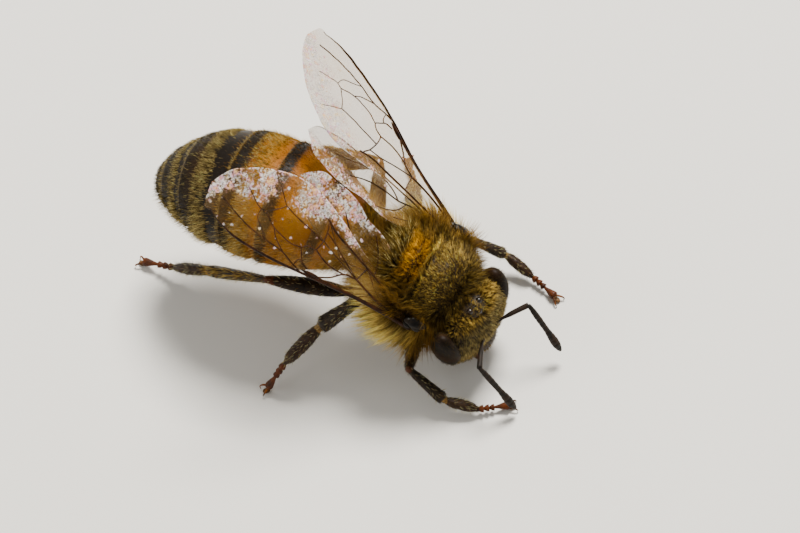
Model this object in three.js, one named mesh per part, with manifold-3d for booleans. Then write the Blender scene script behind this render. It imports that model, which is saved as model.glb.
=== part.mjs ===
// A life-size worker honey bee, standing head-down on a flat surface with its
// wings folded back. Millimetres, +Z up, head towards -Y, the bee's left is +X.
// The origin is at the middle of the model's footprint, on the surface.
import * as THREE from "three";
import { mergeVertices } from "three/addons/utils/BufferGeometryUtils.js";
import Module from "manifold-3d";

const wasm = await Module();
wasm.setup();

const radians = THREE.MathUtils.degToRad;
const RIGHT = -1;
const LEFT = 1;

// ---------------------------------------------------------------- dimensions

const JOINT_GAP = 0.05; // thin cut between two neighbouring pieces
const THIN = 0.5; // thickness of wings, feet and feelers in the solids

// The trunk's own frame: origin at the middle of the thorax, -Y forward.
// Lengths along the body are "forward", across it "out", and above it "up".
const TRUNK = { height: 3.35, pitch: 32, roll: 7.5 };

// Half widths of the furred thorax at stations from its front to its rear.
const THORAX = {
  stations: [
    [-2.45, 0],
    [-2.35, 0.75],
    [-2.0, 1.4],
    [-1.4, 2.05],
    [-0.6, 2.45],
    [0.2, 2.6],
    [0.9, 2.45],
    [1.5, 1.95],
    [1.85, 1.3],
    [1.98, 0.6],
    [2.0, 0],
  ],
  back: 0.88, // height above the middle, as a share of the half width
  breast: 0.74, // depth below it
  collarCut: -1.55, // behind the pronotum
  scutellumCut: 1.0, // in front of the scutellum and propodeum
};

// The gaster follows an arc that leaves the waist rising and ends drooping.
const GASTER = {
  waist: { forward: -2.08, out: 0.2, up: -0.2 },
  length: 8.6,
  yaw: 3, // towards the bee's left
  rise: 27,
  droop: -30,
  tergiteEnds: [1.95, 3.6, 5.0, 6.7, 7.75, 8.6],
  stations: [
    [0.0, 0.35],
    [0.35, 0.95],
    [0.8, 1.5],
    [1.6, 2.0],
    [2.7, 2.33],
    [4.2, 2.43],
    [5.5, 2.3],
    [6.5, 1.98],
    [7.4, 1.5],
    [8.1, 0.98],
    [8.5, 0.45],
    [8.6, 0.12],
  ],
  depth: 0.9, // height of the section as a share of its width
  step: 0.07, // how far each plate stands over the next one
};

// The head's own frame: origin at the neck, -Y out of the face, +Z to the crown.
const HEAD = {
  neck: { forward: 1.62, out: -0.25, up: -0.22 },
  pitch: -28, // face lifted against the trunk's pitch
  yaw: -12, // turned to the bee's right
  width: 3.6,
  crown: 1.55, // above the neck
  mouth: 1.6, // below it
  thickness: 1.75,
  front: 0.95, // from the neck to the middle of the capsule
};
const EYE = { out: 1.55, up: 0.15, front: 0.85, width: 0.85, height: 2.35, depth: 1.3 };
const ANTENNA = {
  out: 0.36,
  up: 0.05,
  front: 1.78,
  scape: { length: 1.25, yaw: 58, lift: 16 },
  flagellum: { length: 2.5, yaw: -4, lift: -50 },
};
const MANDIBLE = { out: 0.5, up: -1.25, front: 1.15, length: 0.75 };
const TONGUE = { length: 1.0, width: 0.5 };

// Wings: outline points run from the hinge along the leading edge to the tip
// and back along the trailing edge; x towards the tip, y towards the leading edge.
const FOREWING = {
  hinge: { forward: 0.3, out: 1.95, up: 0.62 },
  size: 1.0,
  edge: [
    [0.0, 0.18],
    [2.2, 0.34],
    [4.2, 0.62],
    [6.3, 0.86],
    [7.6, 0.84],
    [8.5, 0.56],
    [9.0, 0.15],
    [9.1, -0.3],
    [8.85, -0.85],
    [8.2, -1.45],
    [7.3, -1.92],
    [6.4, -2.16],
    [5.75, -2.16],
    [4.4, -1.78],
    [3.0, -1.2],
    [1.5, -0.62],
    [0.0, -0.2],
  ],
};
const HINDWING = {
  hinge: { forward: -0.45, out: 1.85, up: 0.3 },
  size: 0.98,
  edge: [
    [0.0, 0.15],
    [2.0, 0.36],
    [4.0, 0.48],
    [5.4, 0.36],
    [6.1, 0.08],
    [6.3, -0.25],
    [6.05, -0.75],
    [5.2, -1.2],
    [4.2, -1.4],
    [3.3, -1.32],
    [2.5, -1.4],
    [1.5, -1.2],
    [0.7, -0.75],
    [0.0, -0.2],
  ],
};
// How each wing is held: yaw outwards from straight back, lift above the trunk's
// own axis, and roof, which raises the inner edge.
const WING_POSE = {
  right: { fore: { yaw: 1, lift: 7, roof: 20 }, hind: { yaw: -17, lift: 15, roof: 18 } },
  left: { fore: { yaw: 19.5, lift: 11, roof: 15 }, hind: { yaw: 2.5, lift: 13, roof: 20 } },
};
const TEGULA = { forward: 0.3, out: 2.12, up: 1.08, radius: 0.38 };

// Legs: where each leaves the trunk, the length and half width of its pieces,
// flatness, the thickness as a share of the width, and roll of the flat about it.
const LEG_PLAN = {
  front: {
    root: { forward: 1.15, out: 0.55, up: -1.0 },
    hip: { forward: 1.25, out: 0.85, up: -1.85 },
    femur: { length: 2.15, half: 0.34, flat: 0.85 },
    tibia: { length: 1.7, half: 0.29, flat: 0.85 },
    basitarsus: { length: 1.25, half: 0.27, flat: 0.93 },
    tarsus: { length: 1.25, half: 0.26, flat: 0.96 },
  },
  middle: {
    root: { forward: -0.1, out: 0.65, up: -1.0 },
    hip: { forward: -0.2, out: 1.05, up: -1.95 },
    femur: { length: 2.2, half: 0.38, flat: 0.8 },
    tibia: { length: 2.15, half: 0.38, flat: 0.8 },
    basitarsus: { length: 1.9, half: 0.33, flat: 0.8 },
    tarsus: { length: 1.5, half: 0.26, flat: 0.96 },
  },
  hind: {
    root: { forward: -1.1, out: 0.65, up: -1.0 },
    hip: { forward: -1.55, out: 1.05, up: -1.9 },
    femur: { length: 3.0, half: 0.4, flat: 0.75 },
    tibia: { length: 2.95, half: 0.56, flat: 0.5, roll: 58 },
    basitarsus: { length: 1.95, half: 0.55, flat: 0.48, roll: 58 },
    tarsus: { length: 1.5, half: 0.26, flat: 0.96 },
  },
};
// Direction of each leg piece: azimuth from straight ahead, turning outwards, and
// elevation. The tarsus has an azimuth only, because it reaches down to the floor.
const STANCE = {
  right: {
    front: { femur: [78, 12], tibia: [15, -27], basitarsus: [-12, -19], tarsus: -30 },
    middle: { femur: [103, 70], tibia: [143, -33], basitarsus: [130, -36], tarsus: 142 },
    hind: { femur: [166, 10], tibia: [191, -27], basitarsus: [192, -32], tarsus: 185 },
  },
  left: {
    front: { femur: [80, 14], tibia: [12, -32], basitarsus: [-15, -24], tarsus: -25 },
    middle: { femur: [92, 42], tibia: [120, -48], basitarsus: [112, -42], tarsus: 120 },
    hind: { femur: [105, 22], tibia: [170, -28], basitarsus: [176, -40], tarsus: 170 },
  },
};
const FOOT = { pad: 0.62, width: 0.62, height: 0.34, axis: 0.2 };

// ------------------------------------------------------------------ materials

const finish = (color, roughness = 0.55) =>
  new THREE.MeshStandardMaterial({ color, roughness, metalness: 0 });
const FUR = finish(0x8a6a24, 0.9);
const ORANGE = finish(0xc06a12);
const DARK = finish(0x1d140c);
const LEG = finish(0x2b1a0e);
const FOOT_BROWN = finish(0x6b3413);
const EYE_BLACK = finish(0x120d0a, 0.3);
const MEMBRANE = finish(0xc9a86a, 0.25);

// -------------------------------------------------------------------- helpers

// A trunk-frame place as a vector: forward is -Y, out is +X on the left.
const place = ({ forward, out, up }, side = LEFT) =>
  new THREE.Vector3(side * out, -forward, up);

// A closed three.js geometry as a manifold solid.
function solidOf(geometry) {
  const bare = geometry.clone();
  bare.deleteAttribute("normal");
  bare.deleteAttribute("uv");
  const merged = mergeVertices(bare, 1e-4);
  return new wasm.Manifold(
    new wasm.Mesh({
      numProp: 3,
      vertProperties: new Float32Array(merged.attributes.position.array),
      triVerts: new Uint32Array(merged.index.array),
    }),
  );
}

// A manifold solid as a three.js geometry.
function geometryOf(solid) {
  const { vertProperties, triVerts } = solid.getMesh();
  const geometry = new THREE.BufferGeometry();
  geometry.setAttribute("position", new THREE.BufferAttribute(vertProperties, 3));
  geometry.setIndex(new THREE.BufferAttribute(triVerts, 1));
  return geometry;
}

const moved = (solid, matrix) => solid.transform(matrix.elements);

// A piece named for its node, added to its parent group.
function piece(parent, name, solid, material) {
  const mesh = new THREE.Mesh(geometryOf(solid), material);
  mesh.name = name;
  parent.add(mesh);
  return mesh;
}

// A round solid spun about Y through [y, radius] stations.
function spun(stations, sides) {
  const profile = stations.map(([y, radius]) => new THREE.Vector2(radius, y));
  return new THREE.LatheGeometry(profile, sides);
}

// Moves each vertex of a geometry by a function of its position.
function reshape(geometry, change) {
  const position = geometry.attributes.position;
  const vertex = new THREE.Vector3();
  for (let i = 0; i < position.count; i++) {
    vertex.fromBufferAttribute(position, i);
    change(vertex);
    position.setXYZ(i, vertex.x, vertex.y, vertex.z);
  }
  return geometry;
}

// An ellipsoid of full sizes along X, Y and Z.
const ellipsoid = (x, y, z, across = 12, around = 8) =>
  solidOf(new THREE.SphereGeometry(0.5, across, around).scale(x, y, z));

// The turn and place that carry +Y along a direction, with X kept level.
function along(start, direction, roll = 0) {
  const y = direction.clone().normalize();
  const x = new THREE.Vector3(y.y, -y.x, 0);
  if (x.length() < 1e-6) x.set(1, 0, 0);
  x.normalize();
  const z = new THREE.Vector3().crossVectors(x, y);
  const turn = new THREE.Matrix4().makeBasis(x, y, z).setPosition(start);
  return turn.multiply(new THREE.Matrix4().makeRotationY(roll));
}

// The part of a solid on the side of a point that a direction faces, short of it
// by half a joint gap.
function trimmed(solid, point, facing) {
  const n = facing.clone().normalize();
  return solid.trimByPlane([n.x, n.y, n.z], n.dot(point) + JOINT_GAP / 2);
}

// The largest of the separate bodies of a solid.
function largest(solid) {
  const bodies = solid.decompose().sort((a, b) => b.volume() - a.volume());
  if (!bodies.length) throw new Error("nothing is left of a piece that was cut");
  return bodies[0];
}

// Cuts a mesh back from another one, leaving a gap all round.
function carve(mesh, tool, gap = JOINT_GAP) {
  const geometry = tool.geometry.clone();
  geometry.computeBoundingBox();
  const middle = geometry.boundingBox.getCenter(new THREE.Vector3());
  const size = geometry.boundingBox.getSize(new THREE.Vector3());
  geometry.translate(-middle.x, -middle.y, -middle.z);
  geometry.scale(1 + (2 * gap) / size.x, 1 + (2 * gap) / size.y, 1 + (2 * gap) / size.z);
  geometry.translate(middle.x, middle.y, middle.z);
  const toMesh = mesh.matrixWorld.clone().invert().multiply(tool.matrixWorld);
  const cutter = solidOf(geometry.applyMatrix4(toMesh));
  mesh.geometry = geometryOf(largest(solidOf(mesh.geometry).subtract(cutter)));
}

// --------------------------------------------------------------------- thorax

function thoraxSolid() {
  const shell = spun(THORAX.stations, 22);
  reshape(shell, (v) => {
    v.z *= v.z > 0 ? THORAX.back : THORAX.breast;
  });
  return solidOf(shell);
}

function addThorax(trunk) {
  const whole = thoraxSolid();
  const ahead = new THREE.Vector3(0, -1, 0);
  const astern = new THREE.Vector3(0, 1, 0);
  const collar = new THREE.Vector3(0, THORAX.collarCut, 0);
  const waist = new THREE.Vector3(0, THORAX.scutellumCut, 0);
  piece(trunk, "thorax_collar", trimmed(whole, collar, ahead), FUR);
  const middle = trimmed(trimmed(whole, collar, astern), waist, ahead);
  piece(trunk, "thorax_middle", middle, FUR);
  piece(trunk, "thorax_rear", trimmed(whole, waist, astern), FUR);
}

// ----------------------------------------------------------------------- head

function addHead(trunk) {
  const head = new THREE.Group();
  head.position.copy(place(HEAD.neck));
  head.rotation.set(radians(HEAD.pitch), 0, radians(HEAD.yaw));
  trunk.add(head);

  // The capsule is a shield: broad at the crown, narrowing to the mouth.
  const height = HEAD.crown + HEAD.mouth;
  const shield = new THREE.SphereGeometry(0.5, 20, 11).scale(HEAD.width, HEAD.thickness, height);
  reshape(shield, (v) => {
    const down = Math.max(0, -v.z / HEAD.mouth);
    v.x *= 1 - 0.42 * down * down;
    v.y *= 1 - 0.15 * down;
  });
  shield.translate(0, -HEAD.front, (HEAD.crown - HEAD.mouth) / 2);
  piece(head, "head", solidOf(shield), FUR);

  for (const [side, name] of [
    [RIGHT, "right"],
    [LEFT, "left"],
  ]) {
    const eye = piece(head, `eye_${name}`, ellipsoid(EYE.width, EYE.depth, EYE.height), EYE_BLACK);
    eye.position.set(side * EYE.out, -EYE.front, EYE.up);
    eye.rotation.set(0, radians(side * 9), 0);
    addAntenna(head, side, name);
    addMandible(head, side, name);
  }
  addTongue(head);
}

// Direction in a group's frame: yaw outwards from its -Y, lift above its XY plane.
function heading(side, yaw, lift) {
  const level = Math.cos(radians(lift));
  const x = side * level * Math.sin(radians(yaw));
  return new THREE.Vector3(x, -level * Math.cos(radians(yaw)), Math.sin(radians(lift)));
}

function addAntenna(head, side, name) {
  const { scape, flagellum } = ANTENNA;
  const root = new THREE.Vector3(side * ANTENNA.out, -ANTENNA.front, ANTENNA.up);
  const scapeWay = heading(side, scape.yaw, scape.lift);
  const elbow = root.clone().addScaledVector(scapeWay, scape.length);
  const whipWay = heading(side, flagellum.yaw, flagellum.lift);
  const bend = scapeWay.clone().add(whipWay);
  const stalk = limb(root, scapeWay, { length: scape.length, half: THIN / 2, flat: 1 }, 8);
  piece(head, `antenna_scape_${name}`, trimmed(stalk, elbow, bend.clone().negate()), DARK);
  const whip = limb(elbow, whipWay, { length: flagellum.length, half: THIN / 2, flat: 1 }, 8);
  piece(head, `antenna_flagellum_${name}`, trimmed(whip, elbow, bend), DARK);
}

function addMandible(head, side, name) {
  const root = new THREE.Vector3(side * MANDIBLE.out, -MANDIBLE.front, MANDIBLE.up);
  const way = new THREE.Vector3(-side * 0.28, -0.15, -1);
  const jaw = limb(root, way, { length: MANDIBLE.length, half: 0.27, flat: 0.85 }, 10);
  piece(head, `mandible_${name}`, jaw, FOOT_BROWN);
}

function addTongue(head) {
  const root = new THREE.Vector3(0, -MANDIBLE.front + 0.75, MANDIBLE.up + 0.3);
  const way = new THREE.Vector3(0, 0.5, -1);
  const size = { length: TONGUE.length, half: TONGUE.width / 2, flat: 1 };
  piece(head, "proboscis", limb(root, way, size, 8), FOOT_BROWN);
}

// ----------------------------------------------------------------------- legs

// A straight limb piece with rounded ends that pass both its joints a little.
function limb(start, way, { length, half, flat, roll = 0 }, sides = 10, side = LEFT) {
  const over = half * 0.55;
  const stations = [
    [-over, 0],
    [-over * 0.5, half * 0.68],
    [length * 0.15, half * 0.9],
    [length * 0.6, half],
    [length + over * 0.4, half * 0.68],
    [length + over, 0],
  ];
  const shaft = spun(stations, sides).scale(1, 1, flat);
  return solidOf(shaft.applyMatrix4(along(start, way, radians(-side * roll))));
}

// Joint positions of a leg from the hip to the foot, in the bee's own frame.
function legJoints(trunkMatrix, side, plan, stance) {
  const joints = [place(plan.root, side), place(plan.hip, side)];
  joints.forEach((joint) => joint.applyMatrix4(trunkMatrix));
  const add = (length, azimuth, elevation) => {
    const step = heading(side, azimuth, elevation).multiplyScalar(length);
    joints.push(joints.at(-1).clone().add(step));
  };
  add(plan.femur.length, ...stance.femur);
  add(plan.tibia.length, ...stance.tibia);
  add(plan.basitarsus.length, ...stance.basitarsus);
  const drop = joints.at(-1).z - FOOT.axis;
  const elevation = -Math.asin(Math.min(1, drop / plan.tarsus.length)) * THREE.MathUtils.RAD2DEG;
  add(plan.tarsus.length, stance.tarsus, elevation);
  return joints;
}

function footPad(joints) {
  const [ankle, toe] = joints.slice(-2);
  const ahead = toe.clone().sub(ankle).setZ(0);
  const pad = ellipsoid(FOOT.width, FOOT.pad, FOOT.height, 9, 6);
  const spot = toe.clone().setZ(FOOT.height * 0.3);
  return moved(pad, along(spot, ahead));
}

function addLeg(bee, trunkMatrix, side, sideName, legName) {
  const plan = LEG_PLAN[legName];
  const stance = STANCE[sideName][legName];
  const joints = legJoints(trunkMatrix, side, plan, stance);
  const ways = joints.slice(1).map((joint, i) => joint.clone().sub(joints[i]).normalize());
  const sizes = [
    { length: joints[0].distanceTo(joints[1]), half: 0.42, flat: 0.9 },
    plan.femur,
    plan.tibia,
    plan.basitarsus,
    plan.tarsus,
  ];
  const names = ["coxa", "femur", "tibia", "basitarsus", "tarsus"];
  return names.map((name, i) => {
    let solid = limb(joints[i], ways[i], sizes[i], i === 4 ? 8 : 10, side);
    if (i > 0) solid = trimmed(solid, joints[i], ways[i].clone().add(ways[i - 1]));
    if (i < 4) solid = trimmed(solid, joints[i + 1], ways[i].clone().add(ways[i + 1]).negate());
    if (i === 4) solid = solid.add(footPad(joints)).trimByPlane([0, 0, 1], 0);
    const material = i === 4 ? FOOT_BROWN : LEG;
    return piece(bee, `leg_${sideName}_${legName}_${name}`, solid, material);
  });
}

// --------------------------------------------------------------------- gaster

// A point and a frame on the gaster's axis, a length along it from the waist.
function gasterFrame(start, along) {
  const { length, rise, droop, yaw } = GASTER;
  const bend = radians(rise - droop);
  const radius = length / bend;
  const angle = radians(rise) - (along / length) * bend;
  const level = radius * (Math.sin(radians(rise)) - Math.sin(angle));
  const lift = radius * (Math.cos(angle) - Math.cos(radians(rise)));
  const back = new THREE.Vector3(Math.sin(radians(yaw)), Math.cos(radians(yaw)), 0);
  const across = new THREE.Vector3(back.y, -back.x, 0);
  const point = start.clone().addScaledVector(back, level).setZ(start.z + lift);
  const way = back.clone().multiplyScalar(Math.cos(angle)).setZ(Math.sin(angle));
  return { point, across, way, up: new THREE.Vector3().crossVectors(across, way) };
}

// Half width of the gaster at a length along it, on a smooth curve.
const gasterCurve = new THREE.SplineCurve(GASTER.stations.map(([s, r]) => new THREE.Vector2(s, r)));
const gasterSamples = gasterCurve.getPoints(240);
function gasterHalf(along) {
  const next = Math.max(1, gasterSamples.findIndex((p) => p.x >= along));
  const [a, b] = [gasterSamples[next - 1], gasterSamples[next]];
  return a.y + ((b.y - a.y) * (along - a.x)) / (b.x - a.x);
}

function addGaster(bee, trunkMatrix) {
  const start = place(GASTER.waist).applyMatrix4(trunkMatrix);
  let from = 0.02;
  GASTER.tergiteEnds.forEach((end, i) => {
    const last = i === GASTER.tergiteEnds.length - 1;
    const to = last ? end - 0.02 : end - JOINT_GAP;
    const rings = 3;
    const stations = [[0, 0]];
    for (let k = 0; k <= rings; k++) {
      const t = k / rings;
      const lip = i === 0 ? 0 : GASTER.step * (t - 0.5);
      stations.push([t * (to - from), gasterHalf(from + t * (to - from)) + (last ? 0 : lip)]);
    }
    stations.push([to - from, 0]);
    const ring = reshape(spun(stations, 22), (v) => {
      const frame = gasterFrame(start, from + v.y);
      const { x, z } = v;
      v.copy(frame.point).addScaledVector(frame.across, x);
      v.addScaledVector(frame.up, z * GASTER.depth);
    });
    piece(bee, `gaster_${i + 1}`, solidOf(ring), i < 3 ? ORANGE : DARK);
    from = end;
  });
}

// ---------------------------------------------------------------------- wings

// A wing's slab in the trunk's frame, as thick as asked.
function wingSolid({ hinge, edge, size }, side, pose, thickness) {
  const outline = new THREE.Shape();
  const points = edge.map(([x, y]) => new THREE.Vector2(side * size * y, size * x));
  outline.moveTo(points[0].x, points[0].y);
  outline.splineThru(points.slice(1));
  outline.closePath();
  const slab = new THREE.ExtrudeGeometry(outline, {
    depth: thickness,
    bevelEnabled: false,
    curveSegments: 2,
  });
  const turn = new THREE.Euler(
    radians(pose.lift),
    radians(side * pose.roof),
    radians(-side * pose.yaw),
    "ZXY",
  );
  const held = new THREE.Matrix4().makeRotationFromEuler(turn).setPosition(place(hinge, side));
  return moved(solidOf(slab.translate(0, 0, -thickness / 2)), held);
}

function addWings(trunk) {
  for (const [side, name] of [
    [RIGHT, "right"],
    [LEFT, "left"],
  ]) {
    const { fore, hind } = WING_POSE[name];
    piece(trunk, `forewing_${name}`, wingSolid(FOREWING, side, fore, THIN), MEMBRANE);
    // The hindwing shows where the forewing above it doesn't cover it.
    const shade = wingSolid(FOREWING, side, fore, 8 * THIN);
    const bared = wingSolid(HINDWING, side, hind, THIN).subtract(shade);
    piece(trunk, `hindwing_${name}`, largest(bared), MEMBRANE);
    const r = 2 * TEGULA.radius;
    const tegula = piece(trunk, `tegula_${name}`, ellipsoid(r, r * 1.3, r * 0.9, 10, 6), DARK);
    tegula.position.copy(place(TEGULA, side));
  }
}

// ------------------------------------------------------------------- the bee

const bee = new THREE.Group();
const trunk = new THREE.Group();
trunk.position.z = TRUNK.height;
trunk.rotation.set(radians(TRUNK.pitch), radians(-TRUNK.roll), 0);
bee.add(trunk);
trunk.updateMatrixWorld(true);

addThorax(trunk);
addHead(trunk);
addWings(trunk);
addGaster(bee, trunk.matrixWorld);
for (const [side, sideName] of [
  [RIGHT, "right"],
  [LEFT, "left"],
])
  for (const legName of Object.keys(LEG_PLAN)) addLeg(bee, trunk.matrixWorld, side, sideName, legName);

bee.updateMatrixWorld(true);
const node = (name) => bee.getObjectByName(name);

// Neighbours that touch: the first gives way to each of the others in turn.
const GIVE_WAY = [];
for (const side of ["right", "left"]) {
  for (const leg of ["front", "middle", "hind"])
    GIVE_WAY.push([`leg_${side}_${leg}_coxa`, "thorax_collar", "thorax_middle", "thorax_rear"]);
  GIVE_WAY.push([`tegula_${side}`, "thorax_middle"]);
  GIVE_WAY.push([`forewing_${side}`, "thorax_middle", "thorax_rear", `tegula_${side}`]);
  GIVE_WAY.push([`hindwing_${side}`, "thorax_middle", "thorax_rear", `forewing_${side}`]);
  GIVE_WAY.push(["gaster_1", `forewing_${side}`, `hindwing_${side}`]);
  GIVE_WAY.push(["gaster_2", `forewing_${side}`, `hindwing_${side}`]);
  GIVE_WAY.push(["head", `eye_${side}`, `mandible_${side}`]);
  GIVE_WAY.push([`antenna_scape_${side}`, "head"]);
}
GIVE_WAY.push(["proboscis", "head", "mandible_right", "mandible_left"]);
GIVE_WAY.push(["thorax_collar", "head", "eye_right", "eye_left"]);
GIVE_WAY.push(["thorax_middle", "head", "eye_right", "eye_left"]);
GIVE_WAY.push(["thorax_middle", "leg_right_middle_femur", "leg_left_middle_femur"]);
GIVE_WAY.push(["thorax_rear", "leg_right_middle_femur", "leg_right_middle_tibia"]);
for (const [name, ...others] of GIVE_WAY)
  for (const other of others) carve(node(name), node(other));

// The origin moves to the middle of the footprint, on the floor.
const extent = new THREE.Box3().setFromObject(bee, true);
const middle = extent.getCenter(new THREE.Vector3());
for (const child of bee.children) child.position.sub(middle.setZ(0));

export default bee;
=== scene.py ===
"""A still, life-size worker honey bee, dressed around its CAD frame.

Shapes are worked out in millimetres in the model's own frame, with +Z up, the
head towards -Y and the bee's left at +X, and are scaled to metres when a piece
is finished. One seamless skin runs from the head to the last foot joint. Horny
plates, eyes, feelers, mouthparts, wings and claws are pieces of their own, and a
coat of fine solid tufts lies over them.
"""

import logging
import math
from dataclasses import dataclass, field
from enum import Enum
from typing import Any, Callable, Iterable, Sequence

import bmesh
import bpy
import numpy as np
from mathutils import Matrix, Vector
from mathutils.kdtree import KDTree


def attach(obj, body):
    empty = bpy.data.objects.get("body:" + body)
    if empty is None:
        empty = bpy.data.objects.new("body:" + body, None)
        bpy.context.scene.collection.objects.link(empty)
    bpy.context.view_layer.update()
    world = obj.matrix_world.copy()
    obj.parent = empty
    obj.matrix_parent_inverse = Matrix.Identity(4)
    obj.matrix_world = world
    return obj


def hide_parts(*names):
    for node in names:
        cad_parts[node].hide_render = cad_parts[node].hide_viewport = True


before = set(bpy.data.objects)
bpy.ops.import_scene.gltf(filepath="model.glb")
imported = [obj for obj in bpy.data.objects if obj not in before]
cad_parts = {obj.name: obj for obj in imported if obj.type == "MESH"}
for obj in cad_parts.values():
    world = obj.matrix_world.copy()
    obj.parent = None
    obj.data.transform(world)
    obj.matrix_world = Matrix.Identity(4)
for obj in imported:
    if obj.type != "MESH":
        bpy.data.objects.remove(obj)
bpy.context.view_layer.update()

LOG = logging.getLogger("honey_bee")
BODY = "root"
MM = 0.001
SIDES = {"right": -1, "left": 1}
LEGS = ("front", "middle", "hind")
SEGMENTS = ("coxa", "femur", "tibia", "basitarsus", "tarsus")
TAU = 2 * math.pi
UP = np.array((0.0, 0.0, 1.0))

Array = np.ndarray
Mesh = bpy.types.Mesh
Material = bpy.types.Material
Socket = bpy.types.NodeSocket
Pair = tuple[float, float]
Place = tuple[float, float, float]
Rows = tuple[Array, Array]
Stations = Sequence[Sequence[float]]
Colour = tuple[float, float, float]
Lumps = Sequence[tuple[Any, Place]]
ZoneTable = dict[str, tuple[tuple[str, float, float], ...]]


class Slot(str, Enum):
    """The record's material slots."""

    FUR = "furred_cuticle"
    AMBER = "amber_cuticle"
    DARK = "dark_cuticle"
    BROWN = "brown_cuticle"
    EYE = "compound_eye"
    WING = "wing_membrane"


# ---- numbers


def curve(stations: Stations, at: Array | float) -> Array:
    """A smooth value at places along stations.

    Args:
        stations: pairs of place and value, in order of place.
        at: the places to read.

    Returns:
        The values, on cubic pieces that pass through every station.
    """
    table = np.array(stations, float)
    xs, ys = table[:, 0], table[:, 1]
    slopes = np.gradient(ys, xs)
    at = np.clip(np.asarray(at, float), xs[0], xs[-1])
    i = np.clip(np.searchsorted(xs, at) - 1, 0, len(xs) - 2)
    width = xs[i + 1] - xs[i]
    t = (at - xs[i]) / width
    rest = 1 - t
    return (
        (1 + 2 * t) * rest**2 * ys[i]
        + t * rest**2 * width * slopes[i]
        + t * t * (3 - 2 * t) * ys[i + 1]
        - t * t * rest * width * slopes[i + 1]
    )


def step(low: float, high: float, at: Array) -> Array:
    """A smooth step from 0 at low to 1 at high."""
    t = np.clip((at - low) / (high - low), 0, 1)
    return t * t * (3 - 2 * t)


def unit(vectors: Array) -> Array:
    """Rows scaled to length 1."""
    return vectors / np.maximum(np.linalg.norm(vectors, axis=-1, keepdims=True), 1e-9)


def drift(points: Array, pitch: float, seed: int) -> Array:
    """A smooth, seeded field of small vectors, to make neighbours lean together.

    Args:
        points: places in mm.
        pitch: rough distance over which the lean changes, in mm.
        seed: picks the field.

    Returns:
        One vector a point, each part between about -1 and 1.
    """
    rng = np.random.default_rng(seed)
    total = np.zeros_like(points)
    for _ in range(5):
        waves = rng.normal(size=(3, 3)) * TAU / (pitch * 2.5)
        total += np.sin(points @ waves.T + rng.uniform(0, TAU, 3))
    return total / 2.6


def layered(tint: Any, *layers: tuple[Colour, Array]) -> Array:
    """Rows of a colour with others laid over it, each by a share a row.

    Args:
        tint: the colour underneath, or one a row.
        layers: colours and their shares, from the lowest up.

    Returns:
        The colours, one a row.
    """
    tint = np.asarray(tint)
    for colour, share in layers:
        tint = tint + (np.array(colour) - tint) * np.asarray(share, float)[:, None]
    return tint


def zones(table: ZoneTable, points: Array) -> dict[str, Array]:
    """Reads soft-edged zones of a part.

    Args:
        table: each zone's edges, which say that the zone begins at the first
            number of a coordinate and is full at the second; "wide" is the
            distance from the middle.
        points: places in the part's own frame.

    Returns:
        For each zone, a share from 0 to 1 a point.
    """
    x, y, z = points.T
    read = {"x": x, "y": y, "z": z, "wide": np.abs(x)}
    return {
        name: math.prod(step(low, high, read[which]) for which, low, high in edges)
        for name, edges in table.items()
    }


def around(a: Array, b: Array) -> Array:
    """A direction in a plane as a share of a turn, from 0 to 1."""
    return np.arctan2(a, b) / TAU + 0.5


def laid(u: Array, v: Array, corner: Pair, size: Pair = (0.48, 0.48)) -> Array:
    """Places on a map, inside the part of it that starts at a corner."""
    return np.stack((u, v), axis=1) * size + corner


# ---- the bee's own frames


def turned(axis: str, degrees: float) -> Matrix:
    """A turn about an axis as a 4 by 4 matrix."""
    return Matrix.Rotation(math.radians(degrees), 4, axis)


def place(where: Place, side: int = 1) -> Vector:
    """A place in a part's own frame, from how far forward, out and up it is."""
    forward, out, up = where
    return Vector((side * out, -forward, up))


def heading(side: int, azimuth: float, lift: float) -> Vector:
    """A direction from an azimuth outwards from straight ahead and a lift."""
    a, e = math.radians(azimuth), math.radians(lift)
    return Vector((side * math.cos(e) * math.sin(a), -math.cos(e) * math.cos(a), math.sin(e)))


def framed(x: Any, y: Any, z: Any, at: Any) -> Matrix:
    """The matrix that puts the axes on three directions at a place."""
    return Matrix.Translation(at) @ Matrix((x, y, z)).transposed().to_4x4()


def section(wide: float, tall: float) -> Matrix:
    """The scale of a ring across X and Z."""
    return Matrix.Diagonal((wide, 1, tall, 1))


def along(start: Vector, way: Vector, roll: float = 0.0) -> Matrix:
    """The turn and place that carry +Y along a direction, with X kept level.

    Args:
        start: the place.
        way: the direction.
        roll: a turn about it, in degrees.

    Returns:
        The matrix.
    """
    y = way.normalized()
    x = Vector((y.y, -y.x, 0))
    x = x.normalized() if x.length > 1e-6 else Vector((1, 0, 0))
    return framed(x, y, x.cross(y), start) @ turned("Y", roll)


def into(matrix: Matrix, points: Array) -> Array:
    """Points in the model's frame, read in a matrix's own frame."""
    inverse = np.array(matrix.inverted())
    return points @ inverse[:3, :3].T + inverse[:3, 3]


def directions(matrix: Matrix, vectors: Array) -> Array:
    """Vectors of a matrix's own frame, turned into the model's frame."""
    return vectors @ np.array(matrix)[:3, :3].T


def out_of(matrix: Matrix, points: Array) -> Array:
    """Points of a matrix's own frame, in the model's frame."""
    return directions(matrix, points) + np.array(matrix.translation)


TRUNK = (
    Matrix.Translation((-1.2425, -2.8446, 3.35)) @ turned("X", 32) @ turned("Y", -7.5)
)
HEAD = (
    TRUNK
    @ Matrix.Translation(place((1.62, -0.25, -0.22)))
    @ turned("X", -28)
    @ turned("Z", -12)
)


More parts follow.
